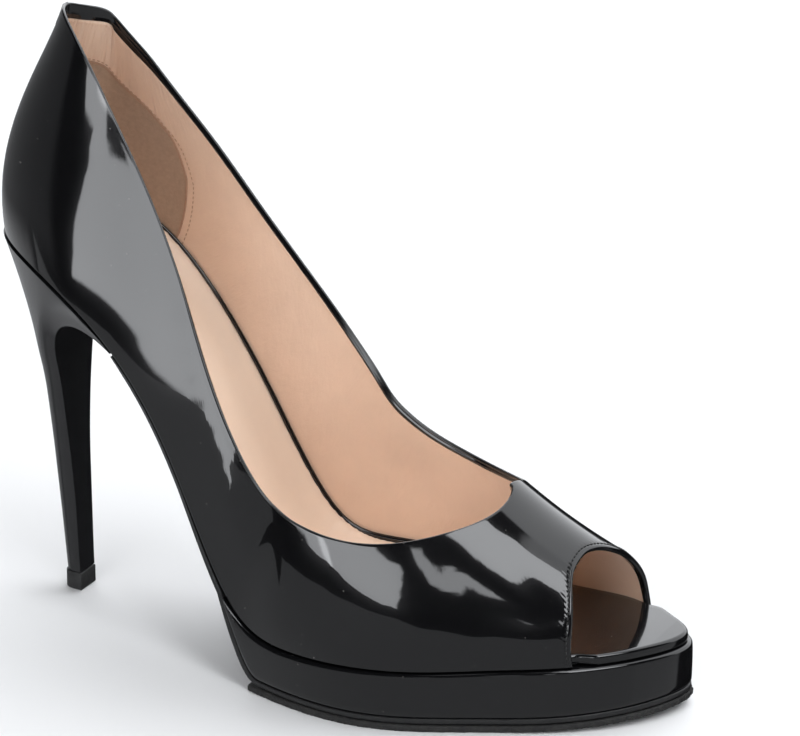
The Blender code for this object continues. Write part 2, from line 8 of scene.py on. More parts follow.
import bmesh
import bpy
import numpy as np
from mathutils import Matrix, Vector


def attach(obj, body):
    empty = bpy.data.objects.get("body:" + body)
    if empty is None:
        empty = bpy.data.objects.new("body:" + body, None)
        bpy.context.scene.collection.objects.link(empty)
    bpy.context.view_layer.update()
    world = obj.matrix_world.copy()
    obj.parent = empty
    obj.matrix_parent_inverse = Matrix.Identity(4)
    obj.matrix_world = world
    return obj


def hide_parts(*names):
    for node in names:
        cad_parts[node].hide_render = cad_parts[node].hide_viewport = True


bl_info = {
    "name": "Peep Toe Pump",
    "version": (1, 0, 0),
    "blender": (4, 5, 0),
    "location": "View3D > Sidebar > Pump",
    "description": "Builds the looks of a right peep toe pump around its packed solids",
    "category": "Object",
}

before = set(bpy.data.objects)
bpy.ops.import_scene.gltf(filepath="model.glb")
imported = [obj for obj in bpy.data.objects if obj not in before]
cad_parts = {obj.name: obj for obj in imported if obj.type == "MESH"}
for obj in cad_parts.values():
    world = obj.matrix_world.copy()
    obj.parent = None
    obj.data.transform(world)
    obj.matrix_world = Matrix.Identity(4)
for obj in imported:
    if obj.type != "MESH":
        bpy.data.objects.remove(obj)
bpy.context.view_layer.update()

BODY = "root"

# Sizes in millimetres that the solids share
MM = 0.001
SHOE_LENGTH = 219.0
X_CENTRE = 109.95
Y_CENTRE = -4.7
CLEARANCE = 0.3
INSOLE_THICKNESS = 3.0
OUTSOLE_THICKNESS = 1.7
HALF_SOLE_THICKNESS = 2.0
PLATFORM_LIP = 1.1
HALF_SOLE_LIP = 1.5
TOP_PIECE_HEIGHT = 5.7
TOE_SPRING = 3.0
TOE_SPRING_START = 172.0
WEDGE_START = 92.6
HALF_SOLE_START = 103.0
SEAT_FRONT_ROW = 8.87
PEEP_CORNER_ROW = 1.76
SOCK_FRONT_ROW = 3.3
CORNER_STEP = 1.9

# Rows of the last from the toe tip to the back of the heel
LAST_COLUMNS = ("lateral_x", "lateral_y", "medial_x", "medial_y", "ridge_x", "ridge_y", "ridge_z",
                "rise", "reach", "lean", "heading", "rim_half", "rim_drop")
LAST_ROWS = (
    (219.0, 12.6, 219.0, 12.6, 203.0, 10.0, 38.0, 8.4, 9.0, 0.7, 0.0, 0.0, 0.0),
    (210.5, -5.0, 211.0, 22.3, 203.4, 9.0, 40.4, 13.2, 10.8, 2.5, -45.0, 0.0, 0.0),
    (193.0, -20.1, 196.0, 30.9, 199.4, 7.2, 43.8, 14.1, 12.6, 5.5, -88.0, 0.0, 0.0),
    (176.0, -29.0, 176.0, 33.0, 179.6, 4.9, 54.0, 11.5, 18.6, 4.0, -90.0, 0.0, 0.0),
    (157.0, -38.7, 156.0, 34.5, 162.5, 3.1, 65.5, 12.6, 20.9, 3.4, -90.0, 0.0, 0.0),
    (137.0, -43.8, 138.0, 33.1, 145.7, 1.3, 76.1, 18.0, 25.4, 4.2, -90.0, 0.0, 0.0),
    (115.0, -41.5, 117.0, 29.0, 127.1, 0.1, 94.8, 23.1, 27.2, 5.1, -90.0, 0.0, 0.0),
    (93.0, -35.0, 95.0, 24.5, 109.9, 0.3, 121.2, 22.5, 31.0, 6.8, -90.0, 2.0, 5.0),
    (70.0, -29.2, 71.0, 22.0, 85.4, 0.5, 150.2, 23.5, 30.4, 7.2, -92.0, 9.3, 40.0),
    (47.0, -27.5, 47.0, 23.2, 58.1, 0.0, 171.9, 27.2, 22.0, 6.6, -105.0, 11.9, 65.0),
    (21.0, -22.9, 21.0, 21.1, 33.0, 0.0, 190.8, 31.5, 20.0, 10.1, -140.0, 10.6, 75.0),
    (0.0, 0.0, 0.0, 0.0, 22.0, 0.0, 192.1, 35.3, 18.5, 13.0, -180.0, 0.0, 80.0),
)
BACK_ROW = len(LAST_ROWS) - 1
LOOP_LENGTH = 2 * BACK_ROW

# Side view of the last's bottom: seat, shank, tread and toe
BOTTOM_COLUMNS = ("x", "z")
BOTTOM_ROWS = (
    (0.0, 115.0), (20.0, 111.8), (45.0, 96.9), (70.0, 64.2), (93.0, 25.7), (115.0, 16.8),
    (137.0, 17.5), (158.0, 18.1), (178.0, 19.0), (196.0, 19.9), (213.0, 20.6),
)

# Side view of the outsole's top where the platform lies between it and the last
WEDGE_COLUMNS = ("x", "z")
WEDGE_ROWS = (
    (45.0, 116.0), (70.0, 76.0), (80.0, 54.0), (86.0, 39.5), (89.5, 31.4), (93.2, 22.7), (97.8, 13.4),
    (101.1, 8.1), (104.0, 5.1), (108.0, 4.2), (115.0, 4.1), (172.0, 4.1), (220.0, 4.1),
)

# Topline from the throat to the back: row and height on the lateral wall, height and row on the medial wall
TOPLINE_COLUMNS = ("row", "lateral", "medial", "medial_row")
TOPLINE_ROWS = (
    (3.76, 1.0, 1.0, 3.76), (3.64, 0.897, 0.912, 3.772), (3.99, 0.674, 0.719, 3.989),
    (5.177, 0.466, 0.578, 5.157), (6.377, 0.387, 0.537, 6.2), (7.704, 0.371, 0.543, 7.71),
    (8.471, 0.521, 0.59, 8.738), (9.268, 0.702, 0.737, 9.461), (9.963, 0.846, 0.791, 9.834),
    (10.7, 0.899, 0.882, 10.66), (11.0, 0.904, 0.904, 11.0),
)
BACK_STEP = len(TOPLINE_ROWS) - 1

# Share of the outsole's full thickness along the shank
SHANK_COLUMNS = ("x", "share")
SHANK_ROWS = ((48.0, 0.3), (55.0, 0.58), (75.0, 0.7), (96.0, 1.0))

# Edge of the peep opening, from the lateral feather over the ridge to the medial feather
PEEP_COLUMNS = ("turn", "row")
PEEP_ROWS = (
    (0.0, 1.76), (0.165, 1.93), (0.253, 2.112), (0.302, 2.241), (0.36, 2.376), (0.42, 2.435), (0.47, 2.44),
    (0.52, 2.385), (0.6, 2.245), (0.7, 2.114), (0.78, 2.004), (0.86, 1.9), (0.93, 1.84), (1.0, 1.76),
)

# Heel stem from its foot to below the seat: height, front, width and depth of each section
HEEL_COLUMNS = ("z", "front_x", "width", "depth")
HEEL_ROWS = (
    (6.0, 24.0, 8.2, 6.2), (14.0, 23.7, 8.6, 6.6), (24.0, 23.4, 9.1, 7.2), (36.0, 22.9, 10.1, 7.8),
    (48.0, 22.3, 11.8, 8.2), (60.0, 21.8, 14.6, 8.7), (70.0, 21.5, 17.6, 9.4), (77.0, 21.2, 20.6, 10.2),
)

# Width of the patent band turned over the topline, from the throat to the back
BAND_COLUMNS = ("step", "width")
BAND_ROWS = ((0.0, 0.9), (1.5, 1.1), (3.0, 1.6), (4.5, 2.1), (6.0, 2.6), (8.0, 3.2), (10.0, 4.0))

# Radius of the sock's piping by row of the last
PIPING_COLUMNS = ("row", "radius")
PIPING_ROWS = ((3.3, 1.35), (5.0, 1.25), (7.0, 0.85), (9.0, 0.6), (11.0, 0.5))

# Upper end of the suede grip inside the heel: share of its half width, height on the wall
GRIP_COLUMNS = ("share", "height")
GRIP_ROWS = ((0.0, 0.615), (0.3, 0.603), (0.5, 0.556), (0.62, 0.53), (0.78, 0.513), (0.88, 0.49),
             (0.95, 0.45), (1.0, 0.36))
GRIP_HALF_ROWS = 1.67

# Soft folds of the leather: start and end on the outer wall as row and turn, width, height in mm
FOLD_COLUMNS = ("row_a", "turn_a", "row_b", "turn_b", "width", "height")
FOLD_ROWS = (
    (4.3, 0.30, 3.3, 0.16, 5.0, -0.14),
    (4.9, 0.26, 4.1, 0.12, 6.0, 0.12),
    (3.3, 0.34, 2.6, 0.25, 4.0, -0.12),
    (6.9, 0.16, 5.8, 0.08, 7.0, -0.14),
    (8.2, 0.22, 7.2, 0.10, 8.0, 0.16),
    (4.3, 0.72, 3.4, 0.86, 5.0, -0.14),
    (9.4, 0.30, 8.6, 0.12, 7.0, -0.12),
)

# Soft panels of the studio, by azimuth and elevation in degrees, seen from the front or from behind
PANEL_COLUMNS = ("az_low", "az_high", "el_low", "el_high", "slant", "radiance", "soft", "behind")
PANEL_ROWS = (
    (50.0, 115.0, -80.0, 8.5, 0.0, 0.47, 2.5, False),
    (-150.0, -80.0, -80.0, -21.0, 0.0, 0.5, 4.0, False),
    (-29.0, -9.0, -20.5, 8.5, 0.75, 5.2, 0.8, False),
    (-31.0, -14.0, 8.5, 16.0, 0.0, 5.2, 0.8, False),
    (-30.0, 1.0, 13.0, 31.0, 0.75, 5.2, 0.8, False),
    (31.5, 36.0, 31.0, 37.5, 0.0, 4.5, 0.7, False),
    (44.0, 76.0, 43.0, 85.0, 0.0, 6.5, 1.0, False),
    (76.0, 107.0, 61.0, 86.0, 0.0, 1.7, 1.5, False),
    (-73.0, 55.0, 5.0, 86.0, 0.0, 2.0, 3.0, True),
    (-150.0, -55.0, -20.0, 12.0, 0.0, 0.17, 5.0, False),
)

# Upright cards before the shoe that only show as reflections: corners by length and height in mm
PALE_CARD_Y = -134.0
PALE_CARD = (
    (-400.0, -20.0), (-250.0, 0.0), (-137.0, 18.0), (-60.0, 28.0), (-28.0, 32.0), (-12.0, 32.0), (-2.0, 11.0),
    (8.0, 13.0), (18.0, 33.0), (68.0, 46.0), (91.0, 52.0), (127.0, 58.0), (174.0, 61.0), (258.0, 60.0),
    (700.0, 60.0), (700.0, -700.0), (-400.0, -700.0),
)
PALE_RADIANCE = 0.44
BLACK_CARD_Y = -135.0
BLACK_CARD = (
    (24.0, 34.0), (45.0, 54.0), (57.0, 61.0), (83.0, 66.0), (100.0, 70.0), (135.0, 68.0), (163.0, 70.0),
    (220.0, 78.0), (220.0, 40.0), (24.0, 20.0),
)

# Relief of the patent leather above the edge of the peep opening, in mm
RIM_COLUMNS = ("above_edge", "bead", "pucker")
RIM_ROWS = (
    (0.0, 0.0, 0.0), (0.25, 0.08, 0.01), (0.5, 0.06, 0.02), (0.75, -0.12, 0.04), (1.0, -0.2, 0.06),
    (1.4, -0.06, 0.05), (1.9, 0.0, 0.03), (2.6, 0.0, 0.01), (4.0, 0.0, 0.0),
)
PEEP_STITCH_PITCH = 1.42

# Offset along the loop that keeps the worn edge of the medial side unlike the lateral one
MEDIAL_PHASE = 31.0

# Camera fitted to the photograph, in pixels of its frame and in metres
PICTURE_WIDTH = 800.0
PICTURE_HEIGHT = 736.0
PICTURE_CENTRE_X = 334.8
PICTURE_CENTRE_Y = 397.1
FOCAL_PIXELS = 5145.0
SENSOR_WIDTH = 36.0
CAMERA_AZIMUTH = 28.84
CAMERA_ELEVATION = 22.93
CAMERA_DISTANCE = 1.5
CAMERA_TARGET = (110.0, 0.0, 80.0)

# Tint of the studio's light
COOL_WHITE = (0.95, 0.97, 1.0)

# Places of the seams on the loop of the upper
SEAM_STEP = 5.08


def column(rows, columns, name):
    """One named column of a table, as numbers."""
    place = columns.index(name)
    return np.array([row[place] for row in rows], dtype=float)


def natural_spline(knots, values, query):
    """Natural cubic spline through the knots, held level beyond both ends."""
    knots = np.asarray(knots, dtype=float)
    values = np.asarray(values, dtype=float)
    count = len(knots)
    step = np.diff(knots)
    matrix = np.eye(count)
    right = np.zeros(count)
    for i in range(1, count - 1):
        matrix[i, i - 1] = step[i - 1]
        matrix[i, i] = 2.0 * (step[i - 1] + step[i])
        matrix[i, i + 1] = step[i]
        right[i] = 6.0 * ((values[i + 1] - values[i]) / step[i] - (values[i] - values[i - 1]) / step[i - 1])
    bend = np.linalg.solve(matrix, right)
    query = np.clip(np.asarray(query, dtype=float), knots[0], knots[-1])
    i = np.clip(np.searchsorted(knots, query) - 1, 0, count - 2)
    part = (query - knots[i]) / step[i]
    rest = 1.0 - part
    curve = (rest**3 - rest) * bend[i] + (part**3 - part) * bend[i + 1]
    return values[i] * rest + values[i + 1] * part + step[i] ** 2 / 6.0 * curve


def table_spline(rows, columns, name, query):
    """Natural spline of a named column over the table's first column."""
    return natural_spline(column(rows, columns, columns[0]), column(rows, columns, name), query)


def ring_bend(values):
    """Second derivatives of the closed cubic spline through values at whole numbers."""
    count = len(values)
    matrix = np.zeros((count, count))
    for i in range(count):
        matrix[i, (i - 1) % count] = 1.0
        matrix[i, i] = 4.0
        matrix[i, (i + 1) % count] = 1.0
    right = 6.0 * (np.roll(values, -1) - 2.0 * values + np.roll(values, 1))
    return np.linalg.solve(matrix, right)


def ring_spline(values, query):
    """Closed cubic spline through values at whole numbers."""
    values = np.asarray(values, dtype=float)
    bend = ring_bend(values)
    count = len(values)
    query = np.asarray(query, dtype=float)
    low = np.floor(query).astype(int)
    part = query - low
    rest = 1.0 - part
    a = low % count
    b = (low + 1) % count
    curve = (rest**3 - rest) * bend[a] + (part**3 - part) * bend[b]
    return values[a] * rest + values[b] * part + curve / 6.0


def there_and_back(lateral, medial):
    """Values down the lateral side and back up the medial side, as one closed loop."""
    return np.concatenate([lateral, medial[-2:0:-1]])


def smooth_share(value):
    """Smooth step from 0 to 1."""
    value = np.clip(value, 0.0, 1.0)
    return value * value * (3.0 - 2.0 * value)


def last(name):
    """Column of the last's table."""
    return column(LAST_ROWS, LAST_COLUMNS, name)


def plan_point(row):
    """Feather line in plan at a row of the loop, without an offset."""
    x = ring_spline(there_and_back(last("lateral_x"), last("medial_x")), row)
    y = ring_spline(there_and_back(last("lateral_y"), last("medial_y")), row)
    return np.stack([x, y], axis=-1)


def plan_outward(row):
    """Outward direction of the feather line in plan."""
    along = plan_point(np.asarray(row) + 0.001) - plan_point(np.asarray(row) - 0.001)
    along = along / np.linalg.norm(along, axis=-1, keepdims=True)
    return np.stack([-along[..., 1], along[..., 0]], axis=-1)


def plan_offset(row, offset):
    """Feather line in plan, moved outward by an offset."""
    return plan_point(row) + plan_outward(row) * np.asarray(offset)[..., None]


def bottom_z(x):
    """Height of the last's bottom."""
    return table_spline(BOTTOM_ROWS, BOTTOM_COLUMNS, "z", x)


def bottom_normal(x):
    """Upward normal of the last's bottom in side view."""
    inside = np.clip(x, 2.0, 212.0)
    angle = np.arctan(bottom_z(inside - 0.5) - bottom_z(inside + 0.5))
    return np.stack([np.sin(angle), np.zeros_like(angle), np.cos(angle)], axis=-1)


def wall_point(row, height):
    """Outer surface of the upper at a row of the loop and a height from 0 at the feather to 1."""
    row = np.asarray(row, dtype=float)
    height = np.asarray(height, dtype=float)[..., None]
    plan = plan_point(row)
    feather = np.stack([plan[..., 0], plan[..., 1], bottom_z(plan[..., 0])], axis=-1)
    normal = bottom_normal(plan[..., 0])
    flat = plan_outward(row)
    run = np.stack([-flat[..., 1], flat[..., 0], np.zeros_like(flat[..., 0])], axis=-1)
    outward = np.cross(run, normal)
    outward = outward / np.linalg.norm(outward, axis=-1, keepdims=True)
    lean = np.radians(ring_spline(there_and_back(last("lean"), last("lean")), row))[..., None]
    leave = normal * np.cos(lean) + outward * np.sin(lean)
    rise = ring_spline(there_and_back(last("rise"), last("rise")), row)[..., None]
    reach = ring_spline(there_and_back(last("reach"), last("reach")), row)[..., None]
    one_way = np.where(row > BACK_ROW, LOOP_LENGTH - row, row)
    side = np.where(row > BACK_ROW, 1.0, -1.0)
    rows = np.arange(len(LAST_ROWS))
    rim_half = np.clip(natural_spline(rows, last("rim_half"), one_way), 0.0, None)
    drop = np.radians(np.clip(natural_spline(rows, last("rim_drop"), one_way), 0.0, 90.0))
    ridge_names = ("ridge_x", "ridge_y", "ridge_z")
    ridge = [ring_spline(there_and_back(last(name), last(name)), row) for name in ridge_names]
    top = np.stack([ridge[0], ridge[1] + side * rim_half, ridge[2]], axis=-1)
    turn = np.radians(ring_spline(there_and_back(last("heading"), -last("heading")), row))
    before = np.clip(one_way - 0.05, 0, BACK_ROW)
    after = np.clip(one_way + 0.05, 0, BACK_ROW)
    ridge_x = there_and_back(last("ridge_x"), last("ridge_x"))
    ridge_z = there_and_back(last("ridge_z"), last("ridge_z"))
    step_x = ring_spline(ridge_x, after) - ring_spline(ridge_x, before)
    step_z = ring_spline(ridge_z, after) - ring_spline(ridge_z, before)
    step_x = np.where(np.abs(step_x) < 1e-6, 1e-6, step_x)
    fall = np.where((one_way > 1.5) & (one_way < 8), -step_z / step_x, np.where(one_way <= 1.5, 0.8, 1.0))
    dip = -np.cos(turn) * np.clip(fall, 0, 2) * np.cos(drop)
    level = np.stack([np.cos(turn), np.sin(turn), dip], axis=-1)
    level = level / np.linalg.norm(level, axis=-1, keepdims=True)
    drop = drop[..., None]
    arrive = level * np.cos(drop) + np.array([0.0, 0.0, -1.0]) * np.sin(drop)
    arrive = arrive / np.linalg.norm(arrive, axis=-1, keepdims=True)
    low = feather + leave * rise
    high = top + arrive * reach
    rest = 1.0 - height
    return feather * rest**3 + 3 * low * rest**2 * height + 3 * high * rest * height**2 + top * height**3


def unfolded_point(row, turn):
    """Outer surface with the lateral side at turns from 0 to 0.5 and the medial side from 0.5 to 1."""
    lateral = turn <= 0.5
    loop_row = np.where(lateral, row, LOOP_LENGTH - row)
    height = np.where(lateral, 2.0 * turn, 2.0 * (1.0 - turn))
    return wall_point(loop_row, np.clip(height, 0.0, 1.0))


def topline(step):
    """Row and turn of the topline, step 0 at the throat, 10 at the back, 20 at the throat again."""
    rows = column(TOPLINE_ROWS, TOPLINE_COLUMNS, "row")
    lateral = column(TOPLINE_ROWS, TOPLINE_COLUMNS, "lateral")
    medial = column(TOPLINE_ROWS, TOPLINE_COLUMNS, "medial")
    medial_rows = column(TOPLINE_ROWS, TOPLINE_COLUMNS, "medial_row")
    row = ring_spline(there_and_back(rows, medial_rows), step)
    height = np.clip(ring_spline(there_and_back(lateral, medial), step), 0.0, 1.0)
    return row, np.where(np.asarray(step) > BACK_STEP, 1.0 - height / 2.0, height / 2.0)


def peep_row(turn):
    """Row of the peep opening's edge at a turn from the lateral to the medial feather."""
    return table_spline(PEEP_ROWS, PEEP_COLUMNS, "row", turn)


def toe_spring(x):
    """Rise of the tread towards the toe tip."""
    over = np.clip((x - TOE_SPRING_START) / (SHOE_LENGTH - TOE_SPRING_START), 0.0, None)
    return TOE_SPRING * over * over


def outsole_top(x):
    """Height of the outsole's top face: under the last at the shank, under the platform ahead of it."""
    wedge = table_spline(WEDGE_ROWS, WEDGE_COLUMNS, "z", x)
    under_last = bottom_z(x) - CLEARANCE / bottom_normal(x)[..., 2]
    return np.minimum(under_last, wedge + toe_spring(x))


def row_at_x(x):
    """Row of the lateral side whose feather point lies at x."""
    rows = np.linspace(2.0, BACK_ROW, 901)
    return float(np.interp(-x, -plan_point(rows)[:, 0], rows))


def to_frame(points):
    """Points in millimetres of the shoe, moved into the frame in metres."""
    return (np.asarray(points, dtype=float) - np.array([X_CENTRE, Y_CENTRE, 0.0])) * MM


def add_sheet(bm, points, surface=None):
    """Grid of faces with a vertex at each given point; surface gives each point's two lengths in mm."""
    placed = to_frame(points)
    rows, columns = placed.shape[:2]
    made = bmesh.ops.create_grid(bm, x_segments=columns - 1, y_segments=rows - 1, size=1.0)
    uv_layer = bm.loops.layers.uv.verify()
    lengths = {}
    for vertex in made["verts"]:
        i = round((vertex.co.y + 1.0) / 2.0 * (rows - 1))
        j = round((vertex.co.x + 1.0) / 2.0 * (columns - 1))
        vertex.co = placed[i, j]
        if surface is not None:
            lengths[vertex] = surface[i, j] * MM
    if surface is not None:
        for face in {face for vertex in made["verts"] for face in vertex.link_faces}:
            for loop in face.loops:
                loop[uv_layer].uv = lengths[loop.vert]
    return made["verts"]


def add_surface(bm, points):
    """Sheet whose points carry their lengths along the surface."""
    return add_sheet(bm, points, surface_lengths(points))


def close_holes(bm):
    """Faces over every open edge."""
    bmesh.ops.holes_fill(bm, edges=[edge for edge in bm.edges if edge.is_boundary], sides=0)


def add_tube(bm, path, radius, sides, closed):
    """Capped tube round a path of points in millimetres, of one radius or one for each point."""
    path = np.asarray(path, dtype=float)
    radius = np.broadcast_to(np.asarray(radius, dtype=float), (len(path),))[:, None, None]
    if closed:
        along = np.roll(path, -1, axis=0) - np.roll(path, 1, axis=0)
    else:
        along = np.gradient(path, axis=0)
    along = along / np.linalg.norm(along, axis=1, keepdims=True)
    across = np.cross(along, np.array([0.0, 0.0, 1.0]))
    across = across / np.linalg.norm(across, axis=1, keepdims=True)
    up = np.cross(across, along)
    angles = np.linspace(0.0, 2.0 * math.pi, sides + 1)[None, :, None]
    spokes = across[:, None, :] * np.cos(angles) + up[:, None, :] * np.sin(angles)
    points = path[:, None, :] + radius * spokes
    if closed:
        points = np.concatenate([points, points[:1]], axis=0)
    else:
        centre_a = np.repeat(path[:1, None, :], sides + 1, axis=1)
        centre_b = np.repeat(path[-1:, None, :], sides + 1, axis=1)
        points = np.concatenate([centre_a, points, centre_b], axis=0)
    add_sheet(bm, points)


def mesh_object(bm, name, material):
    """Object with the mesh of a bmesh and one material, linked to the scene."""
    mesh = bpy.data.meshes.new(name)
    bm.to_mesh(mesh)
    bm.free()
    mesh.materials.append(material)
    item = bpy.data.objects.new(name, mesh)
    bpy.context.scene.collection.objects.link(item)
    return item


def finish_piece(bm, name, material, nodes=(), sharp_angle=50.0):
    """Finished piece from a bmesh: merged, turned outwards, shaded smooth and riding on the shoe."""
    bmesh.ops.remove_doubles(bm, verts=bm.verts, dist=2e-6)
    bmesh.ops.dissolve_degenerate(bm, edges=bm.edges, dist=1e-7)
    bmesh.ops.recalc_face_normals(bm, faces=bm.faces)
    piece = mesh_object(bm, name, material)
    piece.data.shade_smooth()
    piece.data.set_sharp_from_angle(angle=math.radians(sharp_angle))
    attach(piece, BODY)
    if nodes:
        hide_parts(*nodes)
    return piece


def peep_lines(share, medial=False):
    """Lower row, lateral lower turn and topline step of the lines from the peep opening to the throat."""
    turn = (1.0 - share) / 2.0
    return peep_row(1.0 - turn if medial else turn), turn, CORNER_STEP * share


def side_lines(share):
    """Lower row, lower turn and topline step of the lines from the peep's corner to the back."""
    step = CORNER_STEP + (BACK_STEP - CORNER_STEP) * share
    corner_row = topline(np.array([CORNER_STEP]))[0][0]
    row = topline(step)[0] - (corner_row - PEEP_CORNER_ROW) * (1.0 - share) ** 2.2
    return row, np.zeros_like(row), step


def wall_lines(peep_steps, side_steps, seam_share=None):
    """Lines of the upper's wall around the shoe from its lower edge to the topline."""
    peep_share = np.linspace(0.0, 1.0, peep_steps + 1)[:-1]
    share = 1.0 - (1.0 - np.linspace(0.0, 1.0, side_steps + 1)) ** 1.35
    medial_share = share
    if seam_share is not None:
        near = np.array([-0.016, -0.012, -0.009, -0.006, -0.0035, -0.002,
                         -0.001, 0.0, 0.001, 0.002, 0.0035, 0.006])
        kept = share[np.abs(share - seam_share) > 0.018]
        medial_share = np.sort(np.concatenate([kept, seam_share + near]))
    back = np.array([0.988, 0.992, 0.995, 0.997, 0.9985])
    share = np.sort(np.concatenate([share, back]))
    medial_share = np.sort(np.concatenate([medial_share, back]))
    peep = np.stack(peep_lines(peep_share))
    lateral = np.stack(side_lines(share))
    medial = np.stack(side_lines(medial_share[:-1]))
    half_a = np.concatenate([peep, lateral], axis=1)
    medial_peep = np.stack(peep_lines(peep_share[1:], True))
    half_b = np.concatenate([medial_peep, medial], axis=1)[:, ::-1]
    low_row = np.concatenate([half_a[0], half_b[0]])
    low_turn = np.concatenate([half_a[1], 1.0 - half_b[1]])
    step = np.concatenate([half_a[2], 2 * BACK_STEP - half_b[2]])
    high_row, high_turn = topline(step)
    return {"low_row": low_row, "low_turn": low_turn, "high_row": high_row, "high_turn": high_turn,
            "step": step}


def line_points(lines, part):
    """Outer surface at shares of the way up each line; part has a row for each line."""
    row = lines["low_row"][:, None] * (1.0 - part) + lines["high_row"][:, None] * part
    turn = lines["low_turn"][:, None] * (1.0 - part) + lines["high_turn"][:, None] * part
    return unfolded_point(row, turn)


def line_frame(lines, part):
    """Points, outward normals, upward directions and speed along the lines."""
    points = line_points(lines, part)
    above = np.clip(part + 1e-3, 0.0, 1.0)
    below = np.clip(part - 1e-3, 0.0, 1.0)
    rise = (line_points(lines, above) - line_points(lines, below)) / (above - below)[..., None]
    around = np.roll(points, -1, axis=0) - np.roll(points, 1, axis=0)
    normal = np.cross(rise, around)
    normal = normal / np.linalg.norm(normal, axis=-1, keepdims=True)
    speed = np.linalg.norm(rise, axis=-1)
    return points, normal, rise / speed[..., None], speed


def end_speeds(lines):
    """Speed along each line at its lower and at its upper end."""
    return line_frame(lines, np.tile(np.array([0.0, 1.0]), (len(lines["step"]), 1)))[3]


def from_peep(lines):
    """Which lines start at the edge of the peep opening."""
    return (lines["low_turn"] > 0.0) & (lines["low_turn"] < 1.0)


def surface_lengths(points):
    """Lengths around and up a sheet of points, in millimetres."""
    around = np.linalg.norm(np.diff(points, axis=0), axis=-1).mean(axis=1)
    around = np.concatenate([[0.0], np.cumsum(around)])
    up = np.linalg.norm(np.diff(points, axis=1), axis=-1)
    up = np.concatenate([np.zeros((len(points), 1)), np.cumsum(up, axis=1)], axis=1)
    return np.stack([np.broadcast_to(around[:, None], up.shape), up], axis=-1)


def band_width(step):
    """Width of the band turned over the topline."""
    one_way = np.where(step > BACK_STEP, 2 * BACK_STEP - step, step)
    return table_spline(BAND_ROWS, BAND_COLUMNS, "width", one_way)


def fold_height(points):
    """Height of the soft folds at points of the outer surface."""
    total = np.zeros(points.shape[:-1])
    for fold in FOLD_ROWS:
        values = dict(zip(FOLD_COLUMNS, fold))
        share = np.linspace(0.0, 1.0, 9)
        row = values["row_a"] + (values["row_b"] - values["row_a"]) * share
        turn = values["turn_a"] + (values["turn_b"] - values["turn_a"]) * share
        line = unfolded_point(row, turn)
        reach = np.min(np.linalg.norm(points[..., None, :] - line, axis=-1), axis=-1)
        total += values["height"] * np.exp(-((reach / values["width"]) ** 2))
    return total


def seam_share():
    """Share along the side at which the medial seam leaves the topline."""
    return (SEAM_STEP - CORNER_STEP) / (BACK_STEP - CORNER_STEP)


def seam_relief(lines, part):
    """Height of the medial seam's overlap and of the groove down the back."""
    medial = lines["step"] > BACK_STEP
    one_way = np.where(medial, 2 * BACK_STEP - lines["step"], lines["step"])
    across = (one_way - SEAM_STEP) * 11.0
    over = np.where(across < 0.0, np.exp(across / 2.2), 0.0) * 0.42
    groove = -0.3 * np.exp(-((across / 0.28) ** 2))
    seam = np.where(medial, over + groove, 0.0)[:, None] * np.ones_like(part)
    back = -0.28 * np.exp(-(((one_way - BACK_STEP) * 14.0 / 0.35) ** 2))
    return seam + back[:, None]


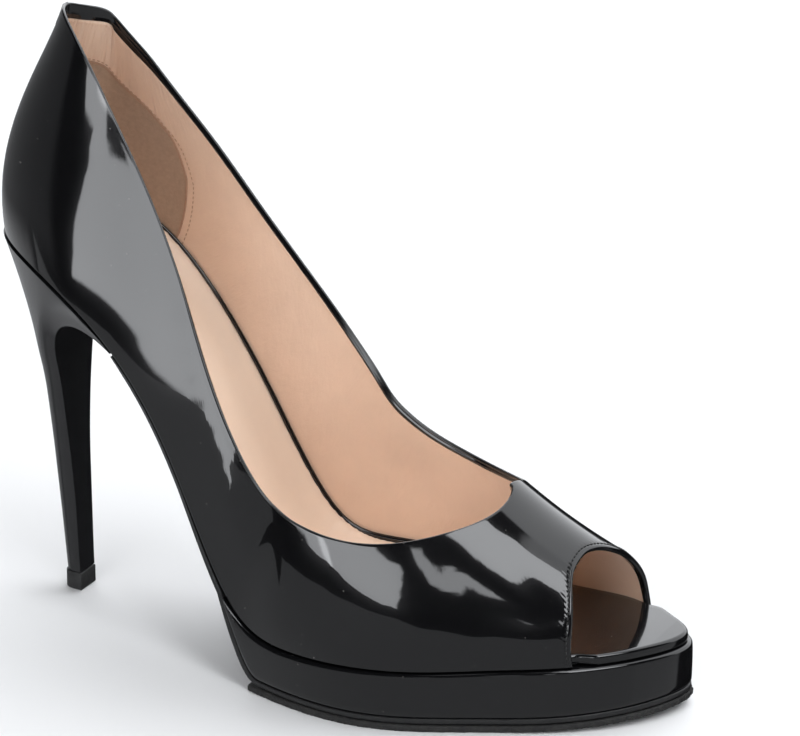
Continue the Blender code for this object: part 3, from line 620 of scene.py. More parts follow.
def make_upper(sizes, material):
    """Patent leather of the upper, folded over the topline and the peep opening."""
    lines = wall_lines(sizes.peep_steps, sizes.side_steps, seam_share())
    wall = sizes.wall / MM
    radius = wall / 2.0
    speed = end_speeds(lines)
    low = radius / speed[:, :1]
    high = 1.0 - sizes.rim / MM / speed[:, 1:]
    near_low = column(RIM_ROWS, RIM_COLUMNS, "above_edge")[None, :] / speed[:, :1]
    near_high = np.array([3.2, 2.2, 1.5, 0.9, 0.45, 0.0])[None, :] / speed[:, 1:]
    middle = np.linspace(0.0, 1.0, sizes.rise_steps + 1)[None, 1:-1]
    first = low + near_low
    final = high - near_high
    between = first[:, -1:] + (final[:, :1] - first[:, -1:]) * middle
    part = np.concatenate([first, between, final], axis=1)
    points, normal, up, _ = line_frame(lines, part)
    peep = from_peep(lines)
    bead = np.zeros(part.shape)
    rim_steps = len(RIM_ROWS)
    bead[:, :rim_steps] = column(RIM_ROWS, RIM_COLUMNS, "bead")[None, :] * peep[:, None]
    along = np.linalg.norm(points[:, 0] - np.roll(points[:, 0], 1, axis=0), axis=-1)
    pucker = np.cos(np.cumsum(along) * (2.0 * math.pi / PEEP_STITCH_PITCH))
    bead[:, :rim_steps] += column(RIM_ROWS, RIM_COLUMNS, "pucker")[None, :] * (pucker * peep)[:, None]
    relief = fold_height(points) + seam_relief(lines, part) + bead
    ease = np.clip(np.minimum(part - low, high - part) * speed[:, :1] / 3.0, 0.0, 1.0)
    outer = points + normal * (relief * (0.25 + 0.75 * ease))[..., None]
    rim = sizes.rim / MM
    top = points[:, -1] - normal[:, -1] * rim
    foot = points[:, 0] - normal[:, 0] * radius
    angles = np.linspace(0.0, math.pi, 11)
    arc_top = [top + rim * (normal[:, -1] * math.cos(a) + up[:, -1] * math.sin(a)) for a in angles[1:-1]]
    arc_foot = [foot - radius * (up[:, 0] * math.sin(a) + normal[:, 0] * math.cos(a)) for a in angles[1:-1]]
    band = band_width(lines["step"])[:, None] / speed[:, 1:]
    down = np.array([0.0, 0.12, 0.25, 0.45, 0.7, 1.0])
    band_part = high - band * down[None, :]
    band_depth = 2.0 * rim + (wall - 2.0 * rim) * smooth_share(down / 0.45)
    hem = np.where(peep, 1.6, 1.0)[:, None] / speed[:, :1]
    hem_part = low + hem * np.linspace(1.0, 0.0, 4)[None, :]
    band_end = band_part[:, -1:]
    hem_start = hem_part[:, :1]
    back_part = band_end + (hem_start - band_end) * np.linspace(0.0, 1.0, 18)[None, :]
    inside_part = np.concatenate([band_part, band_end, back_part, hem_start, hem_part], axis=1)
    back_depth = np.full(18, sizes.patent / MM)
    depth = np.concatenate([band_depth, [wall - 0.35], back_depth, [wall - 0.35], np.full(4, wall)])
    hidden, hidden_normal, _, _ = line_frame(lines, np.clip(inside_part, 0.0, 1.0))
    inner = hidden - hidden_normal * depth[None, :, None]
    profile = np.concatenate([outer, np.stack(arc_top, axis=1), inner, np.stack(arc_foot, axis=1)], axis=1)
    profile = np.concatenate([profile, profile[:, :1]], axis=1)
    profile = np.concatenate([profile, profile[:1]], axis=0)
    bm = bmesh.new()
    add_surface(bm, profile)
    return finish_piece(bm, "patent_upper", material, ("upper",), 60.0)


def inner_point(row, height, depth):
    """Point on the inside of the wall at a row and height, at a depth below the outer surface."""
    row = np.asarray(row, dtype=float)
    height = np.asarray(height, dtype=float)
    here = wall_point(row, height)
    ahead = wall_point(row + 0.02, height) - wall_point(row - 0.02, height)
    top = np.clip(height + 0.004, 0.0, 1.0)
    foot = np.clip(height - 0.004, 0.0, 1.0)
    rise = wall_point(row, top) - wall_point(row, foot)
    normal = np.cross(rise, ahead)
    normal = normal / np.linalg.norm(normal, axis=-1, keepdims=True)
    return here - normal * np.asarray(depth)[..., None]


def make_lining(sizes, material):
    """Leather lining of the upper, from the insole to under the band at the topline."""
    lines = wall_lines(sizes.peep_steps, sizes.side_steps)
    speed = end_speeds(lines)
    peep = from_peep(lines)
    low = np.where(peep, 1.4, 1.2)[:, None] / speed[:, :1]
    high = 1.0 - (band_width(lines["step"])[:, None] * 0.55 + 1.0) / speed[:, 1:]
    depth = sizes.wall / MM - sizes.lining_recess / MM
    share = np.concatenate([np.linspace(0.0, 0.86, sizes.rise_steps - 8), np.linspace(0.875, 1.0, 20)])
    part = low + (high - low) * share[None, :]
    points, normal, _, _ = line_frame(lines, part)
    edge = 1.0 - (band_width(lines["step"])[:, None] + 1.35) / speed[:, 1:]
    lip = 0.3 * np.exp(-((((edge - part) * speed[:, 1:]) / 0.55) ** 2))
    face = points - normal * (depth + lip)[..., None]
    behind = points - normal * (depth - 0.5)
    profile = np.concatenate([face, behind[:, ::-1], face[:, :1]], axis=1)
    profile = np.concatenate([profile, profile[:1]], axis=0)
    bm = bmesh.new()
    add_surface(bm, profile)
    return finish_piece(bm, "nude_lining", material, (), 60.0)


def grip_top(share):
    """Height of the grip's upper end at a share of its half width."""
    return table_spline(GRIP_ROWS, GRIP_COLUMNS, "height", share)


def make_grip(sizes, suede, thread, edge):
    """Suede grip inside the heel, the lining's cut edge round it and the row of stitches beside that."""
    depth = sizes.wall / MM - sizes.lining_recess / MM
    angle = np.linspace(-math.pi / 2.0, math.pi / 2.0, 141)
    across = np.sin(angle)
    top = grip_top(np.abs(across))
    up = np.linspace(0.0, 1.0, 61)
    row = BACK_ROW + GRIP_HALF_ROWS * across[:, None] + 0.0 * up[None, :]
    height = 0.03 + (top[:, None] - 0.03) * up[None, :]
    face = inner_point(row, height, np.full(row.shape, depth + 0.12))
    behind = inner_point(row, height, np.full(row.shape, depth - 0.15))
    profile = np.concatenate([face, behind[:, ::-1], face[:, :1]], axis=1)
    bm = bmesh.new()
    add_surface(bm, profile)
    close_holes(bm)
    finish_piece(bm, "heel_grip", suede, (), 40.0)
    side = np.linspace(0.08, float(grip_top(np.array([1.0]))[0]), 24)
    line_row = np.concatenate([np.full(23, -1.0), across, np.full(23, 1.0)]) * GRIP_HALF_ROWS + BACK_ROW
    line_height = np.concatenate([side[:-1], top, side[-2::-1]])
    path = inner_point(line_row, line_height, np.full(line_row.shape, depth + 0.05))
    bm = bmesh.new()
    add_tube(bm, path, 0.36, 8, False)
    finish_piece(bm, "grip_edge", edge)
    rise = 0.012 * (1 - np.abs(line_row - BACK_ROW) / GRIP_HALF_ROWS * 0.9)
    grown = inner_point(BACK_ROW + (line_row - BACK_ROW) * 1.045, line_height + rise,
                        np.full(line_row.shape, depth + 0.1))
    make_stitches("grip_stitches", grown, 1.6, 1.15, 0.2, thread)


def make_stitches(name, path, pitch, length, radius, material):
    """Row of short stitches along a path, one small bead for each."""
    path = np.asarray(path, dtype=float)
    step = np.linalg.norm(np.diff(path, axis=0), axis=1)
    reach = np.concatenate([[0.0], np.cumsum(step)])
    count = max(2, int(reach[-1] / pitch))
    places = np.linspace(pitch / 2.0, reach[-1] - pitch / 2.0, count)
    centres = np.stack([np.interp(places, reach, path[:, k]) for k in range(3)], axis=1)
    ahead = np.stack([np.interp(places + 0.2, reach, path[:, k]) for k in range(3)], axis=1) - centres
    bm = bmesh.new()
    for centre, direction in zip(centres, ahead):
        made = bmesh.ops.create_uvsphere(bm, u_segments=6, v_segments=5, radius=1.0)
        turn = Vector(direction).to_track_quat("Z", "Y").to_matrix()
        spot = Vector(to_frame(centre))
        for vertex in made["verts"]:
            local = Vector((vertex.co.x * radius, vertex.co.y * radius, vertex.co.z * length / 2.0)) * MM
            vertex.co = turn @ local + spot
    return finish_piece(bm, name, material)


def make_upper_stitches(sizes, material):
    """Stitches round the peep opening and along the medial seam."""
    lines = wall_lines(sizes.peep_steps, sizes.side_steps, seam_share())
    speed = end_speeds(lines)
    part = (sizes.wall / MM / 2.0 + 0.95) / speed[:, :1]
    points, normal, _, _ = line_frame(lines, part)
    peep = from_peep(lines)
    count = len(peep)
    half = int(np.argmax(~peep))
    order = list(range(count - half + 1, count)) + list(range(0, half))
    path = (points[:, 0] + normal[:, 0] * 0.02)[order]
    make_stitches("peep_stitches", path, PEEP_STITCH_PITCH, 1.2, 0.26, material)
    share = seam_share() - 0.0085
    step = 2 * BACK_STEP - (CORNER_STEP + (BACK_STEP - CORNER_STEP) * share)
    low_row, _, _ = side_lines(np.array([share - 0.002, share, share + 0.002]))
    high_row, high_turn = topline(np.array([step + 0.015, step, step - 0.015]))
    seam = {"low_row": low_row, "low_turn": np.ones(3), "high_row": high_row, "high_turn": high_turn,
            "step": np.full(3, step)}
    part = np.tile(np.linspace(0.05, 0.965, 60), (3, 1))
    points = line_points(seam, part)
    ahead = points[2] - points[0]
    rise = np.gradient(points[1], axis=0)
    normal = np.cross(ahead, rise)
    normal = normal / np.linalg.norm(normal, axis=-1, keepdims=True)
    normal = normal * np.sign(normal[:, 1:2])
    make_stitches("seam_stitches", points[1] + normal * 0.3, 1.5, 1.05, 0.18, material)


def make_back_strip(material):
    """Short strip over the top of the back seam, ending just below the topline."""
    across = np.linspace(-1.0, 1.0, 15)
    outside = np.linspace(0.785, 0.896, 16)
    row = BACK_ROW + 0.115 * across[:, None] + 0.0 * outside[None, :]
    taper = np.where(outside < 0.80, 0.6 + (outside - 0.785) / 0.015 * 0.4, 1.0)
    row = BACK_ROW + (row - BACK_ROW) * taper[None, :]
    face = inner_point(row, outside[None, :] + 0.0 * row, np.full(row.shape, -0.22))
    behind = inner_point(row, outside[None, :] + 0.0 * row, np.full(row.shape, 0.3))
    profile = np.concatenate([face, behind[:, ::-1], face[:, :1]], axis=1)
    bm = bmesh.new()
    add_surface(bm, profile)
    close_holes(bm)
    return finish_piece(bm, "back_strip", material, (), 50.0)


def above_last(height):
    """Point function: a height above the last's bottom, square to it."""
    def place(plan):
        base = np.stack([plan[..., 0], plan[..., 1], bottom_z(plan[..., 0])], axis=-1)
        return base + bottom_normal(plan[..., 0]) * height
    return place


def below_top(depth):
    """Point function: a depth below the outsole's top face, square to it and less along the shank."""
    def place(plan):
        x = plan[..., 0]
        share = np.interp(x, column(SHANK_ROWS, SHANK_COLUMNS, "x"),
                          column(SHANK_ROWS, SHANK_COLUMNS, "share"))
        run = depth * share
        angle = np.arctan2(outsole_top(x - 0.4) - outsole_top(x + 0.4), 0.8)
        z = outsole_top(x) - np.cos(angle) * run
        return np.stack([x - np.sin(angle) * run, plan[..., 1], z], axis=-1)
    return place


def between_soles(share, lift):
    """Point function: a share of the way up from the platform's lower to its upper face."""
    def place(plan):
        x = plan[..., 0]
        slope = (outsole_top(x - 0.4) - outsole_top(x + 0.4)) / 0.8
        low = outsole_top(x) + CLEARANCE * np.hypot(1.0, slope)
        high = bottom_z(x) - CLEARANCE / bottom_normal(x)[..., 2]
        high = np.maximum(high, low + 0.45)
        z = low + (high - low) * share + lift * np.minimum(1.0, (high - low) / 6.0)
        return np.stack([x, plan[..., 1], z], axis=-1)
    return place


def above_tread(height):
    """Point function: a height above the tread."""
    def place(plan):
        return np.stack([plan[..., 0], plan[..., 1], height + toe_spring(plan[..., 0])], axis=-1)
    return place


def edge_lines(rows, offsets, closed_end, roughen):
    """Lateral and medial edge of a slab in plan, joined at the toe and, where it closes, at its end."""
    def edges(inset):
        lateral = plan_offset(rows, offsets - inset)
        medial = plan_offset(LOOP_LENGTH - rows, offsets - inset)
        if roughen is not None:
            lateral = lateral + plan_outward(rows) * roughen(rows, inset)[:, None]
            rough = roughen(rows + MEDIAL_PHASE, inset)[:, None]
            medial = medial + plan_outward(LOOP_LENGTH - rows) * rough
        lateral[0] = medial[0] = (lateral[0] + medial[0]) / 2.0
        if closed_end:
            lateral[-1] = medial[-1] = (lateral[-1] + medial[-1]) / 2.0
        return lateral, medial
    return edges


def slab(bm, rows, offsets, rings, closed_end, cross_steps, roughen=None):
    """Slab under the foot: rings round its edge from the lower to the upper face, a sheet on each face."""
    edges = edge_lines(rows, offsets, closed_end, roughen)
    part = np.linspace(0.0, 1.0, cross_steps + 1)[:, None]
    sheets = []
    for inset, place in rings:
        lateral, medial = edges(inset)
        across = lateral[-1] * (1.0 - part) + medial[-1] * part
        sheets.append(place(np.concatenate([lateral[:-1], across, medial[-2::-1]])))
    add_surface(bm, np.stack(sheets))
    for inset, place in (rings[0], rings[-1]):
        lateral, medial = edges(inset)
        add_surface(bm, place(lateral[:, None, :] * (1.0 - part) + medial[:, None, :] * part))


def rounded_rings(radius, steps, inset_start, place_of, turn_up):
    """Rings that round an edge: inset and height change over a quarter circle."""
    rings = []
    for i in range(steps + 1):
        angle = math.pi / 2.0 * i / steps
        run = radius * (1.0 - math.cos(angle))
        rest = radius * (1.0 - math.sin(angle))
        if turn_up:
            rings.append((inset_start + run, place_of(-rest)))
        else:
            rings.append((inset_start + rest, place_of(run)))
    return rings


def make_insole(sizes, material):
    """Insole board wrapped in patent leather, its front end the ledge before the peep opening."""
    rows = np.concatenate([np.linspace(0.0, 2.6, 120), np.linspace(2.66, 10.0, 120),
                           np.linspace(10.04, 11.0, 26)])
    inside = sizes.wall / MM + 0.45
    offsets = -0.3 - (inside - 0.3) * smooth_share((rows - 1.42) / 0.3)
    rings = rounded_rings(0.5, 3, 0.0, above_last, False)
    rings += [(0.0, above_last(1.2))]
    rings += rounded_rings(1.1, 7, 0.0, lambda h: above_last(INSOLE_THICKNESS + h), True)
    bm = bmesh.new()
    slab(bm, rows, offsets, rings, True, 28)
    return finish_piece(bm, "patent_insole", material, ("insole",), 60.0)


def sock_edge(rows, height, depth):
    """Edge of the sock on the inside of the wall."""
    return inner_point(rows, np.full(rows.shape, height), np.full(rows.shape, depth))


def make_sock(sizes, leather, piping):
    """Cupped sock lining with a rolled black piping round its edge."""
    depth = sizes.wall / MM + 0.35
    rows = np.concatenate([np.linspace(SOCK_FRONT_ROW, 9.9, 150), np.linspace(9.95, 11.0, 40)])
    lateral = sock_edge(rows, sizes.sock_edge_height, depth)
    medial = sock_edge(LOOP_LENGTH - rows, sizes.sock_edge_height, depth)
    edge = np.concatenate([lateral, medial[::-1]])
    part = np.linspace(0.0, 1.0, 49)
    part = 0.5 - 0.5 * np.cos(math.pi * part)
    plan = lateral[:, None, :2] * (1.0 - part)[None, :, None] + medial[:, None, :2] * part[None, :, None]
    normal = bottom_normal(plan[..., 0])
    base = np.stack([plan[..., 0], plan[..., 1], bottom_z(plan[..., 0])], axis=-1)
    reach = np.sqrt(((plan[:, :, None, :] - edge[None, None, ::3, :2]) ** 2).sum(axis=-1)).min(axis=-1)
    edge_rise = ((lateral - np.stack([lateral[:, 0], lateral[:, 1], bottom_z(lateral[:, 0])], axis=-1))
                 * bottom_normal(lateral[:, 0])).sum(axis=-1)
    flat = INSOLE_THICKNESS + 1.0
    share = smooth_share(1.0 - reach / 9.0) ** 1.3
    height = flat + (edge_rise[:, None] - flat) * share
    top = base + normal * height[..., None]
    under = base + normal * (height - 0.8)[..., None]
    top[:, 0] = lateral
    top[:, -1] = medial
    profile = np.concatenate([top, under[:, ::-1], top[:, :1]], axis=1)
    bm = bmesh.new()
    add_surface(bm, profile)
    bmesh.ops.remove_doubles(bm, verts=bm.verts, dist=2e-6)
    close_holes(bm)
    finish_piece(bm, "nude_sock", leather, ("sock",), 60.0)
    lift = bottom_normal(edge[:, 0]) * 0.15
    bm = bmesh.new()
    radius = np.interp(np.concatenate([rows, rows[::-1]]), column(PIPING_ROWS, PIPING_COLUMNS, "row"),
                       column(PIPING_ROWS, PIPING_COLUMNS, "radius"))
    add_tube(bm, edge + lift, radius * sizes.piping_radius / MM, 12, False)
    return finish_piece(bm, "sock_piping", piping, (), 60.0)


def make_platform(material):
    """Platform wrapped in patent leather, a wedge at the shank, rounded along its upper edge."""
    end = row_at_x(WEDGE_START)
    rows = end * np.linspace(0.0, 1.0, 230) ** 1.1
    offsets = np.full(len(rows), PLATFORM_LIP)
    rings = [(0.5, between_soles(0.0, 0.0)), (0.15, between_soles(0.0, 0.2)), (0.0, between_soles(0.0, 0.6))]
    rings += [(-0.12 * math.sin(math.pi * share), between_soles(share, 0.0))
              for share in np.linspace(0.15, 0.8, 7)]
    rings += rounded_rings(1.2, 7, 0.0, lambda h: between_soles(1.0, h), True)
    bm = bmesh.new()
    slab(bm, rows, offsets, rings, False, 16)
    return finish_piece(bm, "patent_platform", material, ("platform",), 60.0)


def worn_edge(rows, inset):
    """Small unevenness of a cut rubber edge, rougher at the toe."""
    wave = np.sin(rows * 23.0) * 0.5 + np.sin(rows * 61.0 + 1.3) * 0.3 + np.sin(rows * 137.0 + 0.4) * 0.35
    wave += np.sin(rows * 251.0 + inset * 4.0) * 0.4 + np.sin(rows * 97.0 - inset * 7.0) * 0.4
    return wave * np.interp(rows % MEDIAL_PHASE, (0.0, 1.2, 2.2), (0.26, 0.2, 0.12))


def make_soles(leather, rubber):
    """Outsole from the toe up the shank, and the rubber half sole under the forefoot."""
    rows = (SEAT_FRONT_ROW - 0.02) * np.linspace(0.0, 1.0, 300) ** 1.08
    offsets = 1.0 - 1.4 * np.clip((rows - 6.6) / 1.2, 0.0, 1.0)
    rings = [(0.5, below_top(OUTSOLE_THICKNESS)), (0.15, below_top(OUTSOLE_THICKNESS - 0.12)),
             (0.0, below_top(OUTSOLE_THICKNESS - 0.45)), (0.0, below_top(0.35)), (0.1, below_top(0.1)),
             (0.35, below_top(0.0))]
    bm = bmesh.new()
    slab(bm, rows, offsets, rings, False, 16)
    finish_piece(bm, "shank_outsole", leather, ("outsole",), 60.0)
    rows = row_at_x(HALF_SOLE_START) * np.linspace(0.0, 1.0, 420) ** 1.08
    offsets = np.full(len(rows), HALF_SOLE_LIP - 0.1)
    rings = [(0.5, above_tread(0.0)), (0.15, above_tread(0.12)), (0.0, above_tread(0.5)),
             (0.05, above_tread(1.0)), (0.0, above_tread(1.5)), (0.2, above_tread(1.85)),
             (0.6, above_tread(HALF_SOLE_THICKNESS))]
    bm = bmesh.new()
    slab(bm, rows, offsets, rings, False, 18, worn_edge)
    return finish_piece(bm, "rubber_half_sole", rubber, ("half_sole",), 60.0)


def stem_section(z, angles):
    """Rounded back of the heel's section at a height, from the lateral to the medial corner of the breast."""
    front = float(table_spline(HEEL_ROWS, HEEL_COLUMNS, "front_x", z))
    half = float(table_spline(HEEL_ROWS, HEEL_COLUMNS, "width", z)) / 2.0
    depth = float(table_spline(HEEL_ROWS, HEEL_COLUMNS, "depth", z))
    sine = np.sign(np.sin(angles)) * np.abs(np.sin(angles)) ** 0.86
    cosine = np.abs(np.cos(angles)) ** 0.86
    return np.stack([front - depth * cosine, half * sine, np.full(len(angles), z)], axis=-1)


def heel_loops(around, stem_steps, flare_steps):
    """Rear outline of the heel at each level, from its foot to the loop under the seat."""
    angles = np.linspace(-math.pi / 2.0, math.pi / 2.0, around)
    share = np.abs(angles) / (math.pi / 2.0)
    side = np.sign(angles)
    seat_row = BACK_ROW + side * (BACK_ROW - SEAT_FRONT_ROW) * share ** 1.15
    seat_plan = plan_offset(seat_row, 0.5 - 0.8 * smooth_share((share - 0.75) / 0.25))
    normal = bottom_normal(seat_plan[:, 0])
    seat_z = bottom_z(seat_plan[:, 0]) - CLEARANCE / normal[:, 2]
    seat = np.stack([seat_plan[:, 0], seat_plan[:, 1], seat_z], axis=-1)
    top_z = HEEL_ROWS[-1][0]
    stem_top = stem_section(top_z, angles)
    start_run = stem_top - stem_section(top_z - 1.0, angles)
    start_run = start_run / np.linalg.norm(start_run, axis=-1, keepdims=True)
    front_weight = smooth_share((share - 0.45) / 0.5)[:, None]
    start_length = 30.0 * (1.0 - front_weight) + 56.0 * front_weight
    flat = plan_outward(seat_row)
    rear_arrive = np.stack([flat[:, 0] * 0.34, flat[:, 1] * 0.34, np.ones(around)], axis=-1)
    front_arrive = np.stack([np.full(around, 0.86), flat[:, 1] * 0.12, np.full(around, -0.56)], axis=-1)
    arrive = rear_arrive * 30.0 * (1.0 - front_weight) + front_arrive * 40.0 * front_weight
    loops = []
    for z in np.linspace(HEEL_ROWS[0][0], top_z, stem_steps + 1)[:-1]:
        loops.append(stem_section(z, angles))
    for s in np.linspace(0.0, 1.0, flare_steps + 1):
        h00 = 2 * s**3 - 3 * s**2 + 1
        h10 = s**3 - 2 * s**2 + s
        h01 = -2 * s**3 + 3 * s**2
        h11 = s**3 - s**2
        loops.append(stem_top * h00 + start_run * start_length * h10 + seat * h01 + arrive * h11)
    return np.array(loops)


def make_heel(sizes, cover, tip):
    """Covered heel with a flat breast, flaring into the cup under the seat, and its hard top piece."""
    loops = heel_loops(97, 60, 70)
    part = np.linspace(0.0, 1.0, 17)[None, 1:-1, None]
    breast = loops[:, -1:, :] * (1.0 - part) + loops[:, :1, :] * part
    sections = np.concatenate([loops, breast, loops[:, :1]], axis=1)
    bm = bmesh.new()
    add_surface(bm, sections)
    half = (loops.shape[1] - 1) // 2
    for which in (0, -1):
        lateral = loops[which][half::-1]
        medial = loops[which][half:]
        part = np.linspace(0.0, 1.0, 17)[None, :, None]
        cap = lateral[:, None, :] * (1.0 - part) + medial[:, None, :] * part
        add_surface(bm, cap)
    bmesh.ops.remove_doubles(bm, verts=bm.verts, dist=2e-6)
    heel = finish_piece(bm, "covered_heel", cover, ("heel",), 35.0)
    soften = heel.modifiers.new("soft_edges", "BEVEL")
    soften.width = sizes.heel_edge
    soften.segments = 3
    soften.limit_method = "ANGLE"
    soften.angle_limit = math.radians(40.0)
    angles = np.linspace(-math.pi / 2.0, math.pi / 2.0, 33)
    half_width = HEEL_ROWS[0][2] / 2.0 + 0.05
    front = HEEL_ROWS[0][1] + 0.3
    depth = HEEL_ROWS[0][3] + 0.4
    sine = np.sign(np.sin(angles)) * np.abs(np.sin(angles)) ** 0.62
    cosine = np.abs(np.cos(angles)) ** 0.62
    levels = ((0.0, 0.94), (0.15, 0.975), (0.4, 1.0), (2.8, 1.0), (TOP_PIECE_HEIGHT - 0.35, 1.0),
              (TOP_PIECE_HEIGHT - 0.1, 0.98), (TOP_PIECE_HEIGHT, 0.95))
    centre = np.array([front - depth * 0.5, 0.0])
    rings = []
    for z, size in levels:
        outline = np.stack([front - depth * cosine, half_width * sine], axis=-1)
        outline = centre + (outline - centre) * size
        ring = np.concatenate([outline, outline[:1]])
        rings.append(np.concatenate([ring, np.full((len(ring), 1), z)], axis=1))
    rings = np.array(rings)
    bm = bmesh.new()
    add_surface(bm, rings)
    bmesh.ops.remove_doubles(bm, verts=bm.verts, dist=2e-6)
    close_holes(bm)
    return finish_piece(bm, "heel_tip", tip, ("top_piece",), 35.0)


def new_material(name, colour, roughness):
    """Node material with a plain shader, and its shader and nodes."""
    material = bpy.data.materials.new(name)
    material.use_nodes = True
    shader = material.node_tree.nodes["Principled BSDF"]
    shader.inputs["Base Color"].default_value = (*colour, 1.0)
    shader.inputs["Roughness"].default_value = roughness
    material.diffuse_color = (*colour, 1.0)
    return material, shader, material.node_tree


def add_noise(tree, vector, scale, detail, rough=0.5, stretch=None, turned=0.0):
    """Noise texture on object coordinates or on the surface's own lengths, stretched and then turned."""
    source = tree.nodes.new("ShaderNodeTexCoord")
    mapping = tree.nodes.new("ShaderNodeMapping")
    tree.links.new(source.outputs[vector], mapping.inputs["Vector"])
    if turned:
        turn = mapping
        turn.inputs["Rotation"].default_value = (0.0, 0.0, math.radians(turned))
        mapping = tree.nodes.new("ShaderNodeMapping")
        tree.links.new(turn.outputs["Vector"], mapping.inputs["Vector"])
    if stretch is not None:
        mapping.inputs["Scale"].default_value = stretch
    noise = tree.nodes.new("ShaderNodeTexNoise")
    noise.inputs["Scale"].default_value = scale
    noise.inputs["Detail"].default_value = detail
    noise.inputs["Roughness"].default_value = rough
    tree.links.new(mapping.outputs["Vector"], noise.inputs["Vector"])
    return noise.outputs["Fac"]


def add_bump(tree, shader, height, distance, sockets=("Normal",), after=None):
    """Bump from a height value in front of the shader's normal, on top of an earlier one."""
    bump = tree.nodes.new("ShaderNodeBump")
    bump.inputs["Distance"].default_value = distance
    bump.inputs["Strength"].default_value = 1.0
    tree.links.new(height, bump.inputs["Height"])
    if after is not None:
        tree.links.new(after.outputs["Normal"], bump.inputs["Normal"])
    for socket in sockets:
        tree.links.new(bump.outputs["Normal"], shader.inputs[socket])
    return bump


def ramp(tree, value, low, high, colour_low, colour_high):
    """Colour ramp between two colours over a part of a value's span."""
    node = tree.nodes.new("ShaderNodeValToRGB")
    node.color_ramp.elements[0].position = low
    node.color_ramp.elements[1].position = high
    node.color_ramp.elements[0].color = (*colour_low, 1.0)
    node.color_ramp.elements[1].color = (*colour_high, 1.0)
    tree.links.new(value, node.inputs["Fac"])
    return node.outputs["Color"]


def patent_material(name, colours, wave, gloss):
    """Black patent leather: a glossy coat over smooth leather, with slow waves and a few specks of dust."""
    material, shader, tree = new_material(name, colours.patent, gloss)
    shader.inputs["Coat Weight"].default_value = 1.0
    shader.inputs["Coat Roughness"].default_value = 0.02
    shader.inputs["Coat IOR"].default_value = 1.5
    shader.inputs["Specular IOR Level"].default_value = 0.12
    dust = add_noise(tree, "Object", 900.0, 1.0)
    dark = tuple(colours.patent)
    colour = ramp(tree, dust, 0.80, 0.83, dark, (0.16, 0.15, 0.14))
    tree.links.new(colour, shader.inputs["Base Color"])
    both = ("Normal", "Coat Normal")
    slow = add_bump(tree, shader, add_noise(tree, "Object", 34.0, 0.0), wave, both)
    mid = add_bump(tree, shader, add_noise(tree, "Object", 130.0, 1.0), wave * 0.05, both, slow)
    add_bump(tree, shader, add_noise(tree, "Object", 1200.0, 1.0), 0.0000012, both, mid)
    return material


def leather_material(name, colour, deep, roughness, grain):
    """Unglazed lining leather: fine grain, hair wrinkles along the shoe and a slow change of tone."""
    material, shader, tree = new_material(name, colour, roughness)
    tone = ramp(tree, add_noise(tree, "Object", 28.0, 4.0, 0.6), 0.3, 0.72, tuple(deep), tuple(colour))
    tree.links.new(tone, shader.inputs["Base Color"])
    shader.inputs["Specular IOR Level"].default_value = 0.35
    shader.inputs["Sheen Weight"].default_value = 0.15
    shader.inputs["Sheen Roughness"].default_value = 0.4
    source = tree.nodes.new("ShaderNodeTexCoord")
    split = tree.nodes.new("ShaderNodeSeparateXYZ")
    tree.links.new(source.outputs["Object"], split.inputs["Vector"])
    rear = maths(tree, "SUBTRACT", 1.0, soft_step(tree, split.outputs["X"], -0.062, 0.016))
    upper_end = soft_step(tree, split.outputs["Z"], 0.136, 0.012)
    pleats = add_noise(tree, "UV", 560.0, 2.0, 0.55, (1.0, 0.09, 1.0))
    pleats = maths(tree, "MULTIPLY", pleats, maths(tree, "MULTIPLY", rear, upper_end))
    first = add_bump(tree, shader, pleats, grain * 5.0)
    hair = add_noise(tree, "UV", 1300.0, 3.0, 0.6, (1.0, 0.10, 1.0), 38.0)
    second = add_bump(tree, shader, hair, grain, after=first)
    slack = add_noise(tree, "UV", 150.0, 3.0, 0.55, (1.0, 0.3, 1.0), 20.0)
    third = add_bump(tree, shader, slack, grain * 2.2, after=second)
    pores = add_noise(tree, "Object", 2300.0, 2.0)
    add_bump(tree, shader, pores, grain * 0.25, after=third)
    return material


def suede_material(name, colour, deep):
    """Suede grip: soft nap with a mottled tone."""
    material, shader, tree = new_material(name, colour, 0.95)
    tone = ramp(tree, add_noise(tree, "Object", 700.0, 5.0, 0.7), 0.3, 0.7, tuple(deep), tuple(colour))
    tree.links.new(tone, shader.inputs["Base Color"])
    shader.inputs["Specular IOR Level"].default_value = 0.1
    shader.inputs["Sheen Weight"].default_value = 0.5
    shader.inputs["Sheen Roughness"].default_value = 0.6
    add_bump(tree, shader, add_noise(tree, "Object", 3000.0, 4.0, 0.7), 0.00012)
    return material


def satin_material(name, colour, roughness, scale, height, worn):
    """Satin leather, cover, rubber or thread: an even black with fine relief and a slightly worn tone."""
    material, shader, tree = new_material(name, colour, roughness)
    patches = add_noise(tree, "Object", scale * 0.35, 5.0, 0.65)
    tone = ramp(tree, patches, 0.35, 0.75, tuple(colour), tuple(worn))
    tree.links.new(tone, shader.inputs["Base Color"])
    add_bump(tree, shader, add_noise(tree, "Object", scale, 4.0, 0.6), height)
    return material


def length(name, description, default):
    """Setting of a length in metres."""
    return bpy.props.FloatProperty(name=name, description=description, default=default, unit="LENGTH",
                                   precision=5)


def colour_setting(name, description, default):
    """Setting of a colour."""
    return bpy.props.FloatVectorProperty(name=name, description=description, default=default,
                                         subtype="COLOR")


def level(name, description, default):
    """Setting of a share or a brightness."""
    return bpy.props.FloatProperty(name=name, description=description, default=default)


def count(name, description, default):
    """Setting of a whole number."""
    return bpy.props.IntProperty(name=name, description=description, default=default)


